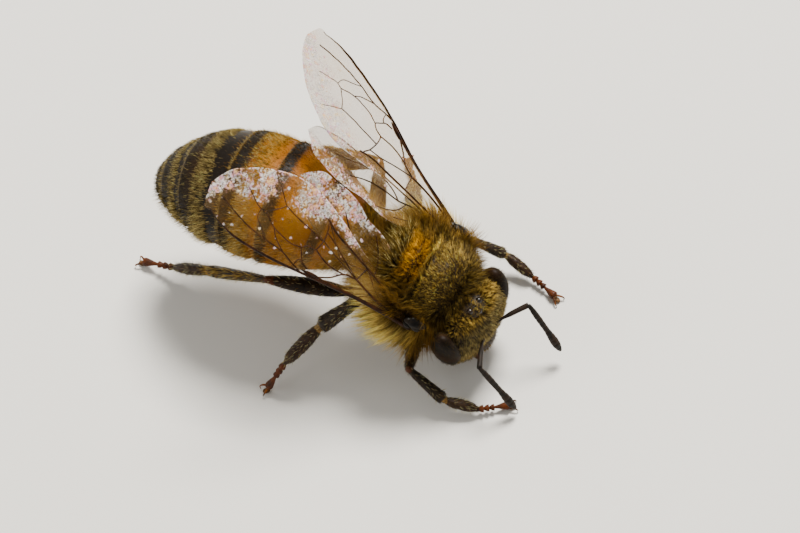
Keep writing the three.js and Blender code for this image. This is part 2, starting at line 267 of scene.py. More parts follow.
@dataclass(frozen=True)
class GasterArc:
    """The gaster's axis, an arc that leaves the waist rising and ends drooping."""

    waist: Place = (-2.08, 0.2, -0.2)
    length: float = 8.6
    rise: float = 27.0
    droop: float = -30.0
    yaw: float = 3.0
    depth: float = 0.9
    belly: float = 0.82
    ends: tuple[float, ...] = (1.95, 3.6, 5.0, 6.7, 7.75, 8.6)
    stations: tuple[tuple[float, float], ...] = (
        (0.0, 0.35), (0.35, 0.95), (0.8, 1.5), (1.6, 2.0), (2.7, 2.33), (4.2, 2.43), (5.5, 2.3),
        (6.5, 1.98), (7.4, 1.5), (8.1, 0.98), (8.5, 0.45), (8.6, 0.12),
    )

    @property
    def bend(self) -> float:
        """The angle that the whole arc turns through."""
        return math.radians(self.rise - self.droop)

    @property
    def radius(self) -> float:
        """The radius of the arc."""
        return self.length / self.bend

    def axes(self) -> tuple[Array, Array, Array]:
        """The arc's centre, its level direction to the rear, and across it."""
        yaw, rise = math.radians(self.yaw), math.radians(self.rise)
        back = np.array((math.sin(yaw), math.cos(yaw), 0.0))
        start = np.array(TRUNK @ place(self.waist))
        centre = start + (back * math.sin(rise) - UP * math.cos(rise)) * self.radius
        return centre, back, np.array((back[1], -back[0], 0.0))

    def frames(self, s: Array) -> tuple[Array, Array, Array, Array]:
        """Points, across, way and up along the axis at lengths from the waist.

        Args:
            s: lengths from the waist.

        Returns:
            The points and the three unit directions at each.
        """
        centre, back, across = self.axes()
        angle = math.radians(self.rise) - np.asarray(s, float) / self.length * self.bend
        sin, cos = np.sin(angle)[:, None], np.cos(angle)[:, None]
        up = cos * UP - sin * back
        way = cos * back + sin * UP
        return centre + self.radius * up, np.broadcast_to(across, up.shape), way, up

    def half(self, s: Array) -> Array:
        """Half width out to the tips of the coat."""
        return curve(self.stations, s)

    def surface(self, s: Array, theta: Array, inset: Array | float) -> Rows:
        """Points and outward normals at an angle from the top of the back.

        Args:
            s: lengths from the waist.
            theta: angles from the top of the back, in radians.
            inset: how far under the coat's tips.

        Returns:
            The points and the unit normals.
        """
        point, across, way, up = self.frames(s)
        reach = np.maximum(self.half(s) - inset, 0.02)
        tall = self.section(theta)
        x, z = np.sin(theta), np.cos(theta)
        where = point + across * (reach * x)[:, None] + up * (reach * tall * z)[:, None]
        slope = (self.half(np.minimum(s + 0.05, self.length)) - self.half(s - 0.05)) / 0.1
        normal = across * (x * tall)[:, None] + up * z[:, None] - way * (slope * 0.9)[:, None]
        return where, unit(normal)

    def section(self, theta: Array) -> Array:
        """The section's height as a share of its width, flatter underneath."""
        return self.depth + (self.belly - self.depth) * step(0.2, -0.6, np.cos(theta))

    def locate(self, points: Array) -> tuple[Array, Array, Array]:
        """Lengths along the axis, angles and distances from it, of points.

        Args:
            points: places in the model's frame.

        Returns:
            The lengths, the angles from the top of the back, and the distances.
        """
        centre, back, across = self.axes()
        q = points - centre
        level, lift = q @ back, q[:, 2]
        angle = np.arctan2(-level, lift)
        s = (math.radians(self.rise) - angle) / self.bend * self.length
        rise, out = np.hypot(level, lift) - self.radius, q @ across
        return s, np.arctan2(out, rise / self.depth), np.hypot(out, rise / self.depth)


ARC = GasterArc()


# ---- shaping


class Shaper:
    """Grows one mesh in millimetres from bmesh operators."""

    def __init__(self) -> None:
        """Starts with an empty mesh."""
        self.bm = bmesh.new()

    def ball(self, where: Matrix, radii: Place, segments: int = 32) -> list[Any]:
        """Adds an ellipsoid of given radii and returns its vertices."""
        matrix = where @ Matrix.Diagonal((*radii, 1))
        made = bmesh.ops.create_uvsphere(
            self.bm, u_segments=segments, v_segments=segments // 2, radius=1.0, matrix=matrix
        )
        return made["verts"]

    def lumps(
        self, base: Matrix, table: Lumps, segments: int, sides: Sequence[int] = (1, -1)
    ) -> None:
        """Adds ellipsoids in a frame.

        Args:
            base: the frame.
            table: pairs of a place and radii; one off the middle is built on each side.
            segments: segments round each.
            sides: 1 for the left and -1 for the right.
        """
        for (x, y, z), radii in table:
            for side in sides if x else (1,):
                self.ball(base @ Matrix.Translation((side * x, y, z)), radii, segments)

    def loft(self, frames: Sequence[Matrix], sides: int = 16) -> None:
        """Adds a closed tube by carrying a ring from frame to frame.

        Args:
            frames: each ring's place; X and Z span the section, and Y runs along.
            sides: corners of a ring.
        """
        ring = bmesh.ops.create_circle(
            self.bm,
            cap_ends=False,
            segments=sides,
            radius=1.0,
            matrix=frames[0] @ turned("X", 90),
        )["verts"]
        first = list({edge for vert in ring for edge in vert.link_edges})
        edges = first
        for before, after in zip(frames, frames[1:]):
            made = bmesh.ops.extrude_edge_only(self.bm, edges=edges)["geom"]
            verts = [item for item in made if isinstance(item, bmesh.types.BMVert)]
            fresh = set(verts)
            edges = [
                item
                for item in made
                if isinstance(item, bmesh.types.BMEdge) and fresh.issuperset(item.verts)
            ]
            bmesh.ops.transform(self.bm, matrix=after @ before.inverted(), verts=verts)
        bmesh.ops.edgeloop_fill(self.bm, edges=first)
        bmesh.ops.edgeloop_fill(self.bm, edges=edges)

    def limb(
        self,
        base: Matrix,
        length: float,
        half: float,
        profile: Stations,
        flat: float = 1.0,
        sides: int = 16,
        rings: int = 14,
    ) -> None:
        """Adds a straight tapering piece.

        Args:
            base: its first joint, with Y along it and X across its flat.
            length: between the joints.
            half: half width where the profile is 1.
            profile: pairs of share of the length and share of the half width.
            flat: thickness as a share of the width.
            sides: corners of a ring.
            rings: rings along it.
        """
        frames = []
        for t in np.linspace(profile[0][0], profile[-1][0], rings):
            wide = max(float(curve(profile, t)) * half, 0.012)
            spot = Matrix.Translation((0, length * t, 0))
            frames.append(base @ spot @ section(wide, wide * flat))
        self.loft(frames, sides)

    def tube(self, points: Array, radii: Array, sides: int = 8, flat: float = 1.0) -> None:
        """Adds a round tube through points.

        Args:
            points: the path, in the model's frame.
            radii: its radius at each point.
            sides: corners of a ring.
            flat: height as a share of the width.
        """
        ways = unit(np.gradient(points, axis=0))
        frames = []
        side = Vector(ways[0]).orthogonal()
        for point, way, radius in zip(points, ways, radii):
            y = Vector(way)
            side = (side - y * side.dot(y)).normalized()
            ring = framed(side, y, side.cross(y), point)
            frames.append(ring @ section(radius, radius * flat))
        self.loft(frames, sides)

    def sheet(self, columns: int, rows: int, shape: Callable[[Array, Array], Array]) -> list[Any]:
        """Adds a grid whose corners a function puts in place.

        Args:
            columns: cells along the first share.
            rows: cells along the second share.
            shape: gives the points for two arrays of shares from 0 to 1.

        Returns:
            The grid's vertices.
        """
        made = bmesh.ops.create_grid(
            self.bm, x_segments=columns, y_segments=rows, size=0.5
        )["verts"]
        flat = np.array([vert.co for vert in made]) + 0.5
        for vert, spot in zip(made, shape(flat[:, 0], flat[:, 1])):
            vert.co = spot
        return made

    def thicken(self, verts: Iterable[Any], thickness: float) -> None:
        """Turns the sheet that holds these vertices into a closed shell."""
        faces = list({face for vert in verts for face in vert.link_faces})
        bmesh.ops.recalc_face_normals(self.bm, faces=faces)
        bmesh.ops.solidify(self.bm, geom=faces, thickness=thickness)

    def mesh(self) -> Mesh:
        """The shape as a mesh, still in millimetres.

        Returns:
            The mesh, with smooth shading.
        """
        bmesh.ops.remove_doubles(self.bm, verts=self.bm.verts[:], dist=1e-5)
        bmesh.ops.recalc_face_normals(self.bm, faces=self.bm.faces[:])
        made = bpy.data.meshes.new("shape")
        self.bm.to_mesh(made)
        self.bm.free()
        made.shade_smooth()
        return made


def added(name: str, data: Any) -> bpy.types.Object:
    """A new object of some data, in the scene."""
    made = bpy.data.objects.new(name, data)
    bpy.context.scene.collection.objects.link(made)
    return made


def fused(shaper: Shaper, voxel: float, rounds: int, keep: float) -> Mesh:
    """Joins overlapping shapes into one seamless mesh.

    Args:
        shaper: holds the shapes.
        voxel: size of the remesh, in millimetres.
        rounds: rounds of smoothing.
        keep: share of the faces that is kept.

    Returns:
        The joined mesh, in millimetres.
    """
    raw = added("raw", shaper.mesh())
    remesh = raw.modifiers.new("voxels", "REMESH")
    remesh.mode = "VOXEL"
    remesh.voxel_size = voxel
    smooth = raw.modifiers.new("smooth", "SMOOTH")
    smooth.factor = 0.5
    smooth.iterations = rounds
    raw.modifiers.new("thin", "DECIMATE").ratio = keep
    graph = bpy.context.evaluated_depsgraph_get()
    made = bpy.data.meshes.new_from_object(raw.evaluated_get(graph))
    bpy.data.objects.remove(raw)
    made.shade_smooth()
    return made


def finished(
    mesh: Mesh,
    name: str,
    material: Material,
    slot: Slot,
    replaces: Iterable[str] = (),
) -> bpy.types.Object:
    """Makes a piece of a mesh in millimetres and rides it on the body.

    Args:
        mesh: the shape, in millimetres.
        name: the piece's name.
        material: its finish.
        slot: not used.
        replaces: CAD nodes that it stands for.

    Returns:
        The piece, in metres.
    """
    mesh.transform(Matrix.Scale(MM, 4))
    mesh.name = name
    mesh.materials.clear()
    mesh.materials.append(material)
    piece = added(name, mesh)
    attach(piece, BODY)
    if replaces:
        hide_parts(*replaces)
    mesh.calc_loop_triangles()
    LOG.info("%s: %d triangles", name, len(mesh.loop_triangles))
    return piece


def coordinates(mesh: Mesh) -> Array:
    """A mesh's vertices as rows."""
    flat = np.empty(len(mesh.vertices) * 3, np.float32)
    mesh.vertices.foreach_get("co", flat)
    return flat.reshape(-1, 3).astype(float)


def paint(mesh: Mesh, colours: Array) -> None:
    """Stores one colour a vertex, which the finishes read as Tint."""
    layer = mesh.color_attributes.new("Tint", "FLOAT_COLOR", "POINT")
    rgba = np.ones((len(colours), 4), np.float32)
    rgba[:, :3] = colours
    layer.data.foreach_set("color", rgba.ravel())


def unwrap(mesh: Mesh, name: str, u: Array, v: Array) -> None:
    """Stores one place a vertex as a UV map."""
    index = np.empty(len(mesh.loops), np.int32)
    mesh.loops.foreach_get("vertex_index", index)
    layer = mesh.uv_layers.new(name=name)
    layer.data.foreach_set("uv", np.stack((u, v), axis=1)[index].astype(np.float32).ravel())


# ---- finishes


class Number:
    """A number in a shader that can be used in sums."""

    def __init__(self, graph: "Graph", socket: Socket) -> None:
        """Wraps an output socket of a graph."""
        self.graph, self.socket = graph, socket

    def _sum(self, operation: str, first: Any, second: Any) -> "Number":
        """Adds a Math node on two values."""
        node = self.graph.node("ShaderNodeMath", {"operation": operation}, {0: first, 1: second})
        return Number(self.graph, node.outputs[0])

    def __add__(self, other: Any) -> "Number":
        """Sum."""
        return self._sum("ADD", self, other)

    __radd__ = __add__

    def __sub__(self, other: Any) -> "Number":
        """Difference."""
        return self._sum("SUBTRACT", self, other)

    def __rsub__(self, other: Any) -> "Number":
        """Reflected difference, so that 1 - mask works."""
        return self._sum("SUBTRACT", other, self)

    def __mul__(self, other: Any) -> "Number":
        """Product."""
        return self._sum("MULTIPLY", self, other)

    __rmul__ = __mul__

    def spread(
        self, low: float, high: float, to_low: float = 0.0, to_high: float = 1.0
    ) -> "Number":
        """Maps low..high smoothly onto two other values, and stops there.

        Args:
            low: where it starts to rise.
            high: where it stops.
            to_low: the value at low.
            to_high: the value at high.

        Returns:
            The new number.
        """
        node = self.graph.node(
            "ShaderNodeMapRange",
            {"interpolation_type": "SMOOTHSTEP", "clamp": True},
            {"Value": self, "From Min": low, "From Max": high, "To Min": to_low, "To Max": to_high},
        )
        return Number(self.graph, node.outputs["Result"])


class Graph:
    """A material's nodes, made by one method."""

    def __init__(self, name: str) -> None:
        """Starts a material that holds only its output."""
        self.material = bpy.data.materials.new(name)
        self.material.use_nodes = True
        self.tree = self.material.node_tree
        self.tree.nodes.clear()

    def node(
        self,
        kind: str,
        settings: dict[str, Any] | None = None,
        sockets: dict[Any, Any] | None = None,
    ) -> bpy.types.Node:
        """Adds a node.

        Args:
            kind: its type.
            settings: its own settings, or a ramp's stops, which are set first.
            sockets: values or links of its inputs, by name or number.

        Returns:
            The node.
        """
        made = self.tree.nodes.new(kind)
        for key, value in (settings or {}).items():
            if key == "stops":
                self._stops(made.color_ramp, value)
            else:
                setattr(made, key, value)
        for key, value in (sockets or {}).items():
            if isinstance(value, Number):
                value = value.socket
            if isinstance(value, Socket):
                self.tree.links.new(value, made.inputs[key])
            else:
                made.inputs[key].default_value = value
        return made

    @staticmethod
    def _stops(ramp: bpy.types.ColorRamp, stops: Sequence[tuple[float, Colour]]) -> None:
        """Gives a ramp its stops.

        Args:
            ramp: the ramp.
            stops: places and colours.
        """
        while len(ramp.elements) > 1:
            ramp.elements.remove(ramp.elements[-1])
        ramp.elements[0].position = stops[0][0]
        ramp.elements[0].color = (*stops[0][1], 1)
        for at, colour in stops[1:]:
            ramp.elements.new(at).color = (*colour, 1)

    def millimetres(self) -> Socket:
        """Object coordinates in millimetres.

        Returns:
            The socket with the place.
        """
        source = self.node("ShaderNodeTexCoord")
        scaled = self.node(
            "ShaderNodeVectorMath",
            {"operation": "SCALE"},
            {0: source.outputs["Object"], "Scale": 1 / MM},
        )
        return scaled.outputs[0]

    def noise(self, where: Any, scale: float, detail: float = 2.0, rough: float = 0.5) -> Number:
        """Cloudy noise, about 0.5, with a number of lumps a millimetre.

        Args:
            where: the place.
            scale: lumps a millimetre.
            detail: finer layers.
            rough: how strong the finer layers are.

        Returns:
            The noise.
        """
        made = self.node(
            "ShaderNodeTexNoise",
            None,
            {"Vector": where, "Scale": scale, "Detail": detail, "Roughness": rough},
        )
        return Number(self, made.outputs[0])

    def cells(self, where: Any, scale: float) -> Number:
        """Distance to the nearest of scattered points."""
        made = self.node("ShaderNodeTexVoronoi", None, {"Vector": where, "Scale": scale})
        return Number(self, made.outputs["Distance"])

    def ramp(self, factor: Any, stops: Sequence[tuple[float, Colour]]) -> Socket:
        """A colour read off stops."""
        made = self.node("ShaderNodeValToRGB", {"stops": stops}, {0: factor})
        return made.outputs[0]

    def mix(self, factor: Any, a: Any, b: Any, how: str = "MIX") -> Socket:
        """Two colours mixed."""
        a, b = ((*c, 1.0) if isinstance(c, tuple) else c for c in (a, b))
        made = self.node(
            "ShaderNodeMix", {"data_type": "RGBA", "blend_type": how}, {0: factor, 6: a, 7: b}
        )
        return made.outputs[2]

    def tint(self) -> Socket:
        """The colour painted on the mesh."""
        return self.node("ShaderNodeAttribute", {"attribute_name": "Tint"}).outputs["Color"]

    def uv(self, name: str) -> tuple[Number, Number]:
        """The two numbers of a UV map."""
        source = self.node("ShaderNodeUVMap", {"uv_map": name})
        split = self.node("ShaderNodeSeparateXYZ", None, {0: source.outputs[0]})
        return Number(self, split.outputs[0]), Number(self, split.outputs[1])

    def bump(self, height: Any, depth: float) -> Socket:
        """A normal from a height of 0 to 1 over a depth in millimetres."""
        made = self.node(
            "ShaderNodeBump", None, {"Strength": 1.0, "Distance": depth * MM, "Height": height}
        )
        return made.outputs[0]

    def surface(self, **sockets: Any) -> Material:
        """Ends in a Principled surface whose sockets are named with underscores.

        Args:
            sockets: values or links of its inputs.

        Returns:
            The material.
        """
        named = {key.replace("_", " "): value for key, value in sockets.items()}
        for key, value in named.items():
            if isinstance(value, tuple) and len(value) == 3:
                named[key] = (*value, 1.0)
        shader = self.node("ShaderNodeBsdfPrincipled", None, named)
        self.node("ShaderNodeOutputMaterial", None, {0: shader.outputs[0]})
        return self.material


BLACK: Colour = (0.0075, 0.0052, 0.0035)
BROWN_BLACK: Colour = (0.020, 0.010, 0.005)
RED_BROWN: Colour = (0.13, 0.028, 0.004)
AMBER: Colour = (0.21, 0.066, 0.0004)
HONEY: Colour = (0.27, 0.108, 0.001)
DIM_EDGE: Colour = (0.11, 0.065, 0.012)
PALE_JOINT: Colour = (0.36, 0.20, 0.045)
FACE_BROWN: Colour = (0.030, 0.017, 0.007)
GOLD_HAIR: Colour = (0.47, 0.225, 0.006)
PALE_HAIR: Colour = (0.84, 0.53, 0.09)
GREY_HAIR: Colour = (0.42, 0.29, 0.08)
OLIVE_HAIR: Colour = (0.10, 0.062, 0.005)
ORANGE_HAIR: Colour = (0.78, 0.36, 0.008)
DARK_HAIR: Colour = (0.022, 0.013, 0.004)
STRAW_HAIR: Colour = (0.62, 0.47, 0.17)
DOME_HAIR: Colour = (0.22, 0.135, 0.016)
GLINT_HAIR: Colour = (0.56, 0.38, 0.09)
FLANK_HAIR: Colour = (0.95, 0.68, 0.17)
BRISTLE_HAIR: Colour = (0.92, 0.74, 0.36)
AMBER_HAIR: Colour = (0.44, 0.16, 0.006)
MARK_HAIR: Colour = (0.03, 0.019, 0.005)

# The gaster's markings: the length from the waist where each shade is reached.
MARKINGS: tuple[tuple[float, Colour], ...] = (
    (0.0, BLACK), (0.75, BROWN_BLACK), (1.0, AMBER), (1.58, AMBER), (1.68, BLACK), (1.92, BLACK),
    (1.96, BROWN_BLACK), (2.02, AMBER), (2.6, HONEY), (3.12, AMBER), (3.26, BLACK), (3.57, BLACK),
    (3.60, BROWN_BLACK), (3.64, AMBER), (4.10, HONEY), (4.36, AMBER), (4.52, BLACK), (4.93, BLACK),
    (4.98, DIM_EDGE), (5.02, BLACK), (5.75, BLACK), (6.1, BROWN_BLACK), (6.63, BLACK),
    (6.675, DIM_EDGE), (6.71, BLACK), (7.68, BLACK), (7.72, DIM_EDGE), (7.76, BROWN_BLACK),
    (8.6, BLACK),
)


@dataclass(frozen=True)
class SkinFinish:
    """The furred cuticle: dark, finely pitted, and a little glossy."""

    name: str = "furred cuticle"
    pits: float = 16.0
    gloss: float = 0.42
    stain: Colour = (0.05, 0.028, 0.012)
    dust: Colour = (0.10, 0.06, 0.03)

    def material(self) -> Material:
        """Builds the material.

        Returns:
            The material.
        """
        g = Graph(self.name)
        where = g.millimetres()
        cloud = g.noise(where, 1.6, 3.0)
        grain = g.noise(where, 22.0, 2.0)
        pits = g.cells(where, self.pits).spread(0.0, 0.55)
        shade = g.mix(cloud.spread(0.35, 0.7, 0.0, 0.5), g.tint(), self.stain)
        return g.surface(
            Base_Color=g.mix(grain.spread(0.5, 0.75, 0.0, 0.35), shade, self.dust),
            Roughness=cloud * 0.3 + (self.gloss - 0.12),
            Normal=g.bump(pits * 0.7 + grain * 0.5, 0.012),
            Specular_IOR_Level=0.18,
        )


@dataclass(frozen=True)
class PlateFinish:
    """The gaster's banded horny plates."""

    name: str = "banded plate"
    below: bool = False
    belly: Colour = (0.22, 0.085, 0.012)
    cloudy: Colour = (0.55, 0.55, 0.5)

    def material(self) -> Material:
        """Builds the material, which reads the bands off the plate's own UV map.

        Returns:
            The material.
        """
        g = Graph(self.name)
        where = g.millimetres()
        _, length = g.uv("Plate")
        wobble = g.noise(where, 2.4, 3.0) * 0.010 + g.noise(where, 14.0, 1.0) * 0.006
        stops = [(at / ARC.length, colour) for at, colour in MARKINGS]
        base = g.ramp(length + wobble - 0.008, stops)
        cloud = g.noise(where, 1.1, 3.0)
        if self.below:
            base = g.mix(0.5, base, self.belly)
        base = g.mix(cloud.spread(0.42, 0.72, 0.0, 0.4), base, self.cloudy, "MULTIPLY")
        height = g.cells(where, 13.0).spread(0.0, 0.4) * 0.8 + g.noise(where, 30.0) * 0.5
        return g.surface(
            Base_Color=base,
            Roughness=cloud * 0.3 + 0.27,
            Normal=g.bump(height, 0.010),
            Specular_IOR_Level=0.09,
        )


@dataclass(frozen=True)
class HornFinish:
    """Plain horn for claws, jaws, feelers and veins, mottled along its length."""

    name: str
    colour: Colour
    second: Colour
    roughness: float = 0.35
    grain: float = 12.0
    depth: float = 0.006

    def material(self) -> Material:
        """Builds the material.

        Returns:
            The material.
        """
        g = Graph(self.name)
        where = g.millimetres()
        cloud = g.noise(where, 3.5, 3.0)
        grain = g.noise(where, self.grain * 2, 2.0)
        return g.surface(
            Base_Color=g.mix(cloud.spread(0.38, 0.66), self.colour, self.second),
            Roughness=grain * 0.24 + (self.roughness - 0.12),
            Normal=g.bump(g.cells(where, self.grain).spread(0.0, 0.5) + grain * 0.6, self.depth),
            Specular_IOR_Level=0.16,
        )


@dataclass(frozen=True)
class EyeFinish:
    """The compound eyes: near black, glossy, and faintly banded."""

    name: str = "faceted eye"
    gloss: float = 0.07
    dull: float = 0.28
    black: Colour = (0.006, 0.004, 0.003)
    brown: Colour = (0.028, 0.012, 0.005)
    between: Colour = (0.004, 0.003, 0.002)

    def material(self) -> Material:
        """Builds the material.

        Returns:
            The material.
        """
        g = Graph(self.name)
        where = g.millimetres()
        cloud = g.noise(where, 1.3, 3.0)
        facets = g.cells(where, 42.0)
        dark = g.mix(cloud.spread(0.35, 0.7), self.black, self.brown)
        return g.surface(
            Base_Color=g.mix(facets.spread(0.3, 0.7, 0.0, 0.5), dark, self.between),
            Roughness=facets.spread(0.1, 0.6, self.dull, self.dull + 0.16),
            Normal=g.bump(1 - facets, 0.004),
            Specular_IOR_Level=self.gloss,
        )


@dataclass(frozen=True)
class MembraneFinish:
    """Clear amber wing skin, with painted highlights: pale glints coloured by a painted sheen,
    mostly over the outer margin and the tip.
    """

    name: str = "wing membrane"
    clear: float = 0.10
    # How strong the painted glints are.
    painted_glint: float = 1.0
    ambers: tuple[Colour, Colour] = ((0.24, 0.11, 0.015), (0.40, 0.23, 0.06))
    # Colours of the painted sheen that the painted glints take.
    sheen: tuple[tuple[float, Colour], ...] = (
        (0.34, (0.88, 0.58, 0.26)), (0.41, (0.84, 0.44, 0.34)), (0.46, (0.66, 0.40, 0.60)),
        (0.51, (0.90, 0.84, 0.76)), (0.57, (0.50, 0.52, 0.60)), (0.62, (0.92, 0.84, 0.70)),
        (0.70, (0.88, 0.64, 0.30)),
    )

    def material(self) -> Material:
        """Builds the material, which reads places on the wing off its UV map.

        Returns:
            The material.
        """
        g = Graph(self.name)
        where = g.millimetres()
        length, across = g.uv("Wing")
        patch = g.noise(where, 0.9, 2.0)
        grain = g.noise(where, 11.0, 4.0, 0.8)
        lines = g.noise(where, 6.0, 3.0)
        # Painted highlights: pale glints of reflected light, laid as flecks, haze, dots and a line
        # along the trailing edge and the tip, strongest over the outer margin; the wing is more
        # opaque where they lie.
        reach = length.spread(0.25, 0.95, 0.16, 0.60)
        margin = (reach - across).spread(-0.10, 0.24) * length.spread(0.20, 0.45)
        region = margin + length.spread(0.86, 0.99) * 0.5 + (patch - 0.5) * 2.6
        strength = region.spread(0.22, 1.15) * self.painted_glint
        glint_flecks = (grain + strength * 0.10).spread(0.57, 0.66) * (strength * 0.6 + 0.2)
        glint_haze = strength * lines.spread(0.36, 0.62) * 0.50
        glint_dots = (g.cells(where, 2.5) + grain * 0.6).spread(0.46, 0.40) * length.spread(0.25, 0.45)
        rim = across.spread(0.022, 0.0) * length.spread(0.15, 0.5) + length.spread(0.985, 1.0)
        pale = (glint_flecks + glint_haze + glint_dots * 0.8 + rim * lines.spread(0.4, 0.6)).spread(0.0, 1.0)
        # The painted glints take the colours of a painted sheen of reflected light.
        painted_sheen = g.ramp(g.noise(where, 3.4, 4.0), self.sheen)
        tint = g.mix(patch.spread(0.3, 0.7), *self.ambers)
        return g.surface(
            Base_Color=g.mix(pale, tint, painted_sheen),
            Roughness=lines.spread(0.3, 0.7, 0.16, 0.34),
            Alpha=pale * (0.82 - self.clear) + (patch * 0.12 + self.clear - 0.06),
            Normal=g.bump(lines + grain * 0.4, 0.03),
        )


@dataclass(frozen=True)
class HairFinish:
    """The coat: each tuft's colour, which holds painted shade at its root and painted light at its
    tip, streaked a little along its length.
    """

    name: str = "hair"
    shadow: Colour = (0.5, 0.46, 0.4)

    def material(self) -> Material:
        """Builds the material.

        Returns:
            The material.
        """
        g = Graph(self.name)
        where = g.millimetres()
        streak = g.noise(where, 14.0, 1.0)
        dull = g.mix(streak.spread(0.3, 0.7, 0.0, 0.35), g.tint(), self.shadow, "MULTIPLY")
        return g.surface(Base_Color=dull, Roughness=streak * 0.2 + 0.46, Specular_IOR_Level=0.12)


# ---- legs


@dataclass(frozen=True)
class LegPlan:
    """Sizes of a leg: its roots on the trunk, and each piece's sizes."""

    root: Place
    hip: Place
    lengths: tuple[float, float, float, float]
    halves: tuple[float, float, float, float]
    flats: tuple[float, float, float, float]
    roll: float = 0.0


PLANS = {
    "front": LegPlan(
        (1.15, 0.55, -1.0), (1.25, 0.85, -1.85), (2.15, 1.7, 1.25, 1.25), (0.34, 0.29, 0.27, 0.26),
        (0.85, 0.85, 0.93, 0.96),
    ),
    "middle": LegPlan(
        (-0.1, 0.65, -1.0), (-0.2, 1.05, -1.95), (2.2, 2.15, 1.9, 1.5), (0.38, 0.38, 0.33, 0.26),
        (0.8, 0.8, 0.8, 0.96),
    ),
    "hind": LegPlan(
        (-1.1, 0.65, -1.0), (-1.55, 1.05, -1.9), (3.0, 2.95, 1.95, 1.5), (0.4, 0.56, 0.55, 0.26),
        (0.75, 0.5, 0.48, 0.96),
        58.0,
    ),
}
# Azimuth and elevation of femur, tibia and basitarsus, and the tarsus's azimuth.
STANCE = {
    ("right", "front"): ((78, 12), (15, -27), (-12, -19), -30),
    ("right", "middle"): ((103, 70), (143, -33), (130, -36), 142),
    ("right", "hind"): ((166, 10), (191, -27), (192, -32), 185),
    ("left", "front"): ((80, 14), (12, -32), (-15, -24), -25),
    ("left", "middle"): ((92, 42), (120, -48), (112, -42), 120),
    ("left", "hind"): ((105, 22), (170, -28), (176, -40), 170),
}
FOOT_AXIS = 0.2
LEG_COAT = 0.075
PROFILES: dict[str, Stations] = {
    "coxa": ((-0.1, 0.5), (0.15, 0.85), (0.5, 1.0), (0.85, 0.85), (1.0, 0.55)),
    "femur": (
        (-0.03, 0.45), (0.06, 0.62), (0.25, 0.92), (0.5, 1.0), (0.78, 0.82), (0.93, 0.62),
        (1.02, 0.42),
    ),
    "tibia": (
        (-0.03, 0.38), (0.05, 0.58), (0.2, 0.72), (0.5, 0.9), (0.8, 1.02), (0.94, 1.0),
        (0.985, 0.72), (1.0, 0.3),
    ),
    "basitarsus": (
        (-0.01, 0.3), (0.05, 0.66), (0.2, 0.92), (0.5, 1.02), (0.78, 0.9), (0.93, 0.62),
        (1.0, 0.35),
    ),
    "bead": ((0.0, 0.34), (0.16, 0.5), (0.6, 0.94), (0.84, 1.0), (0.97, 0.8), (1.0, 0.3)),
    "last bead": ((0.0, 0.3), (0.25, 0.48), (0.66, 0.9), (0.88, 1.0), (0.98, 0.7), (1.0, 0.3)),
}


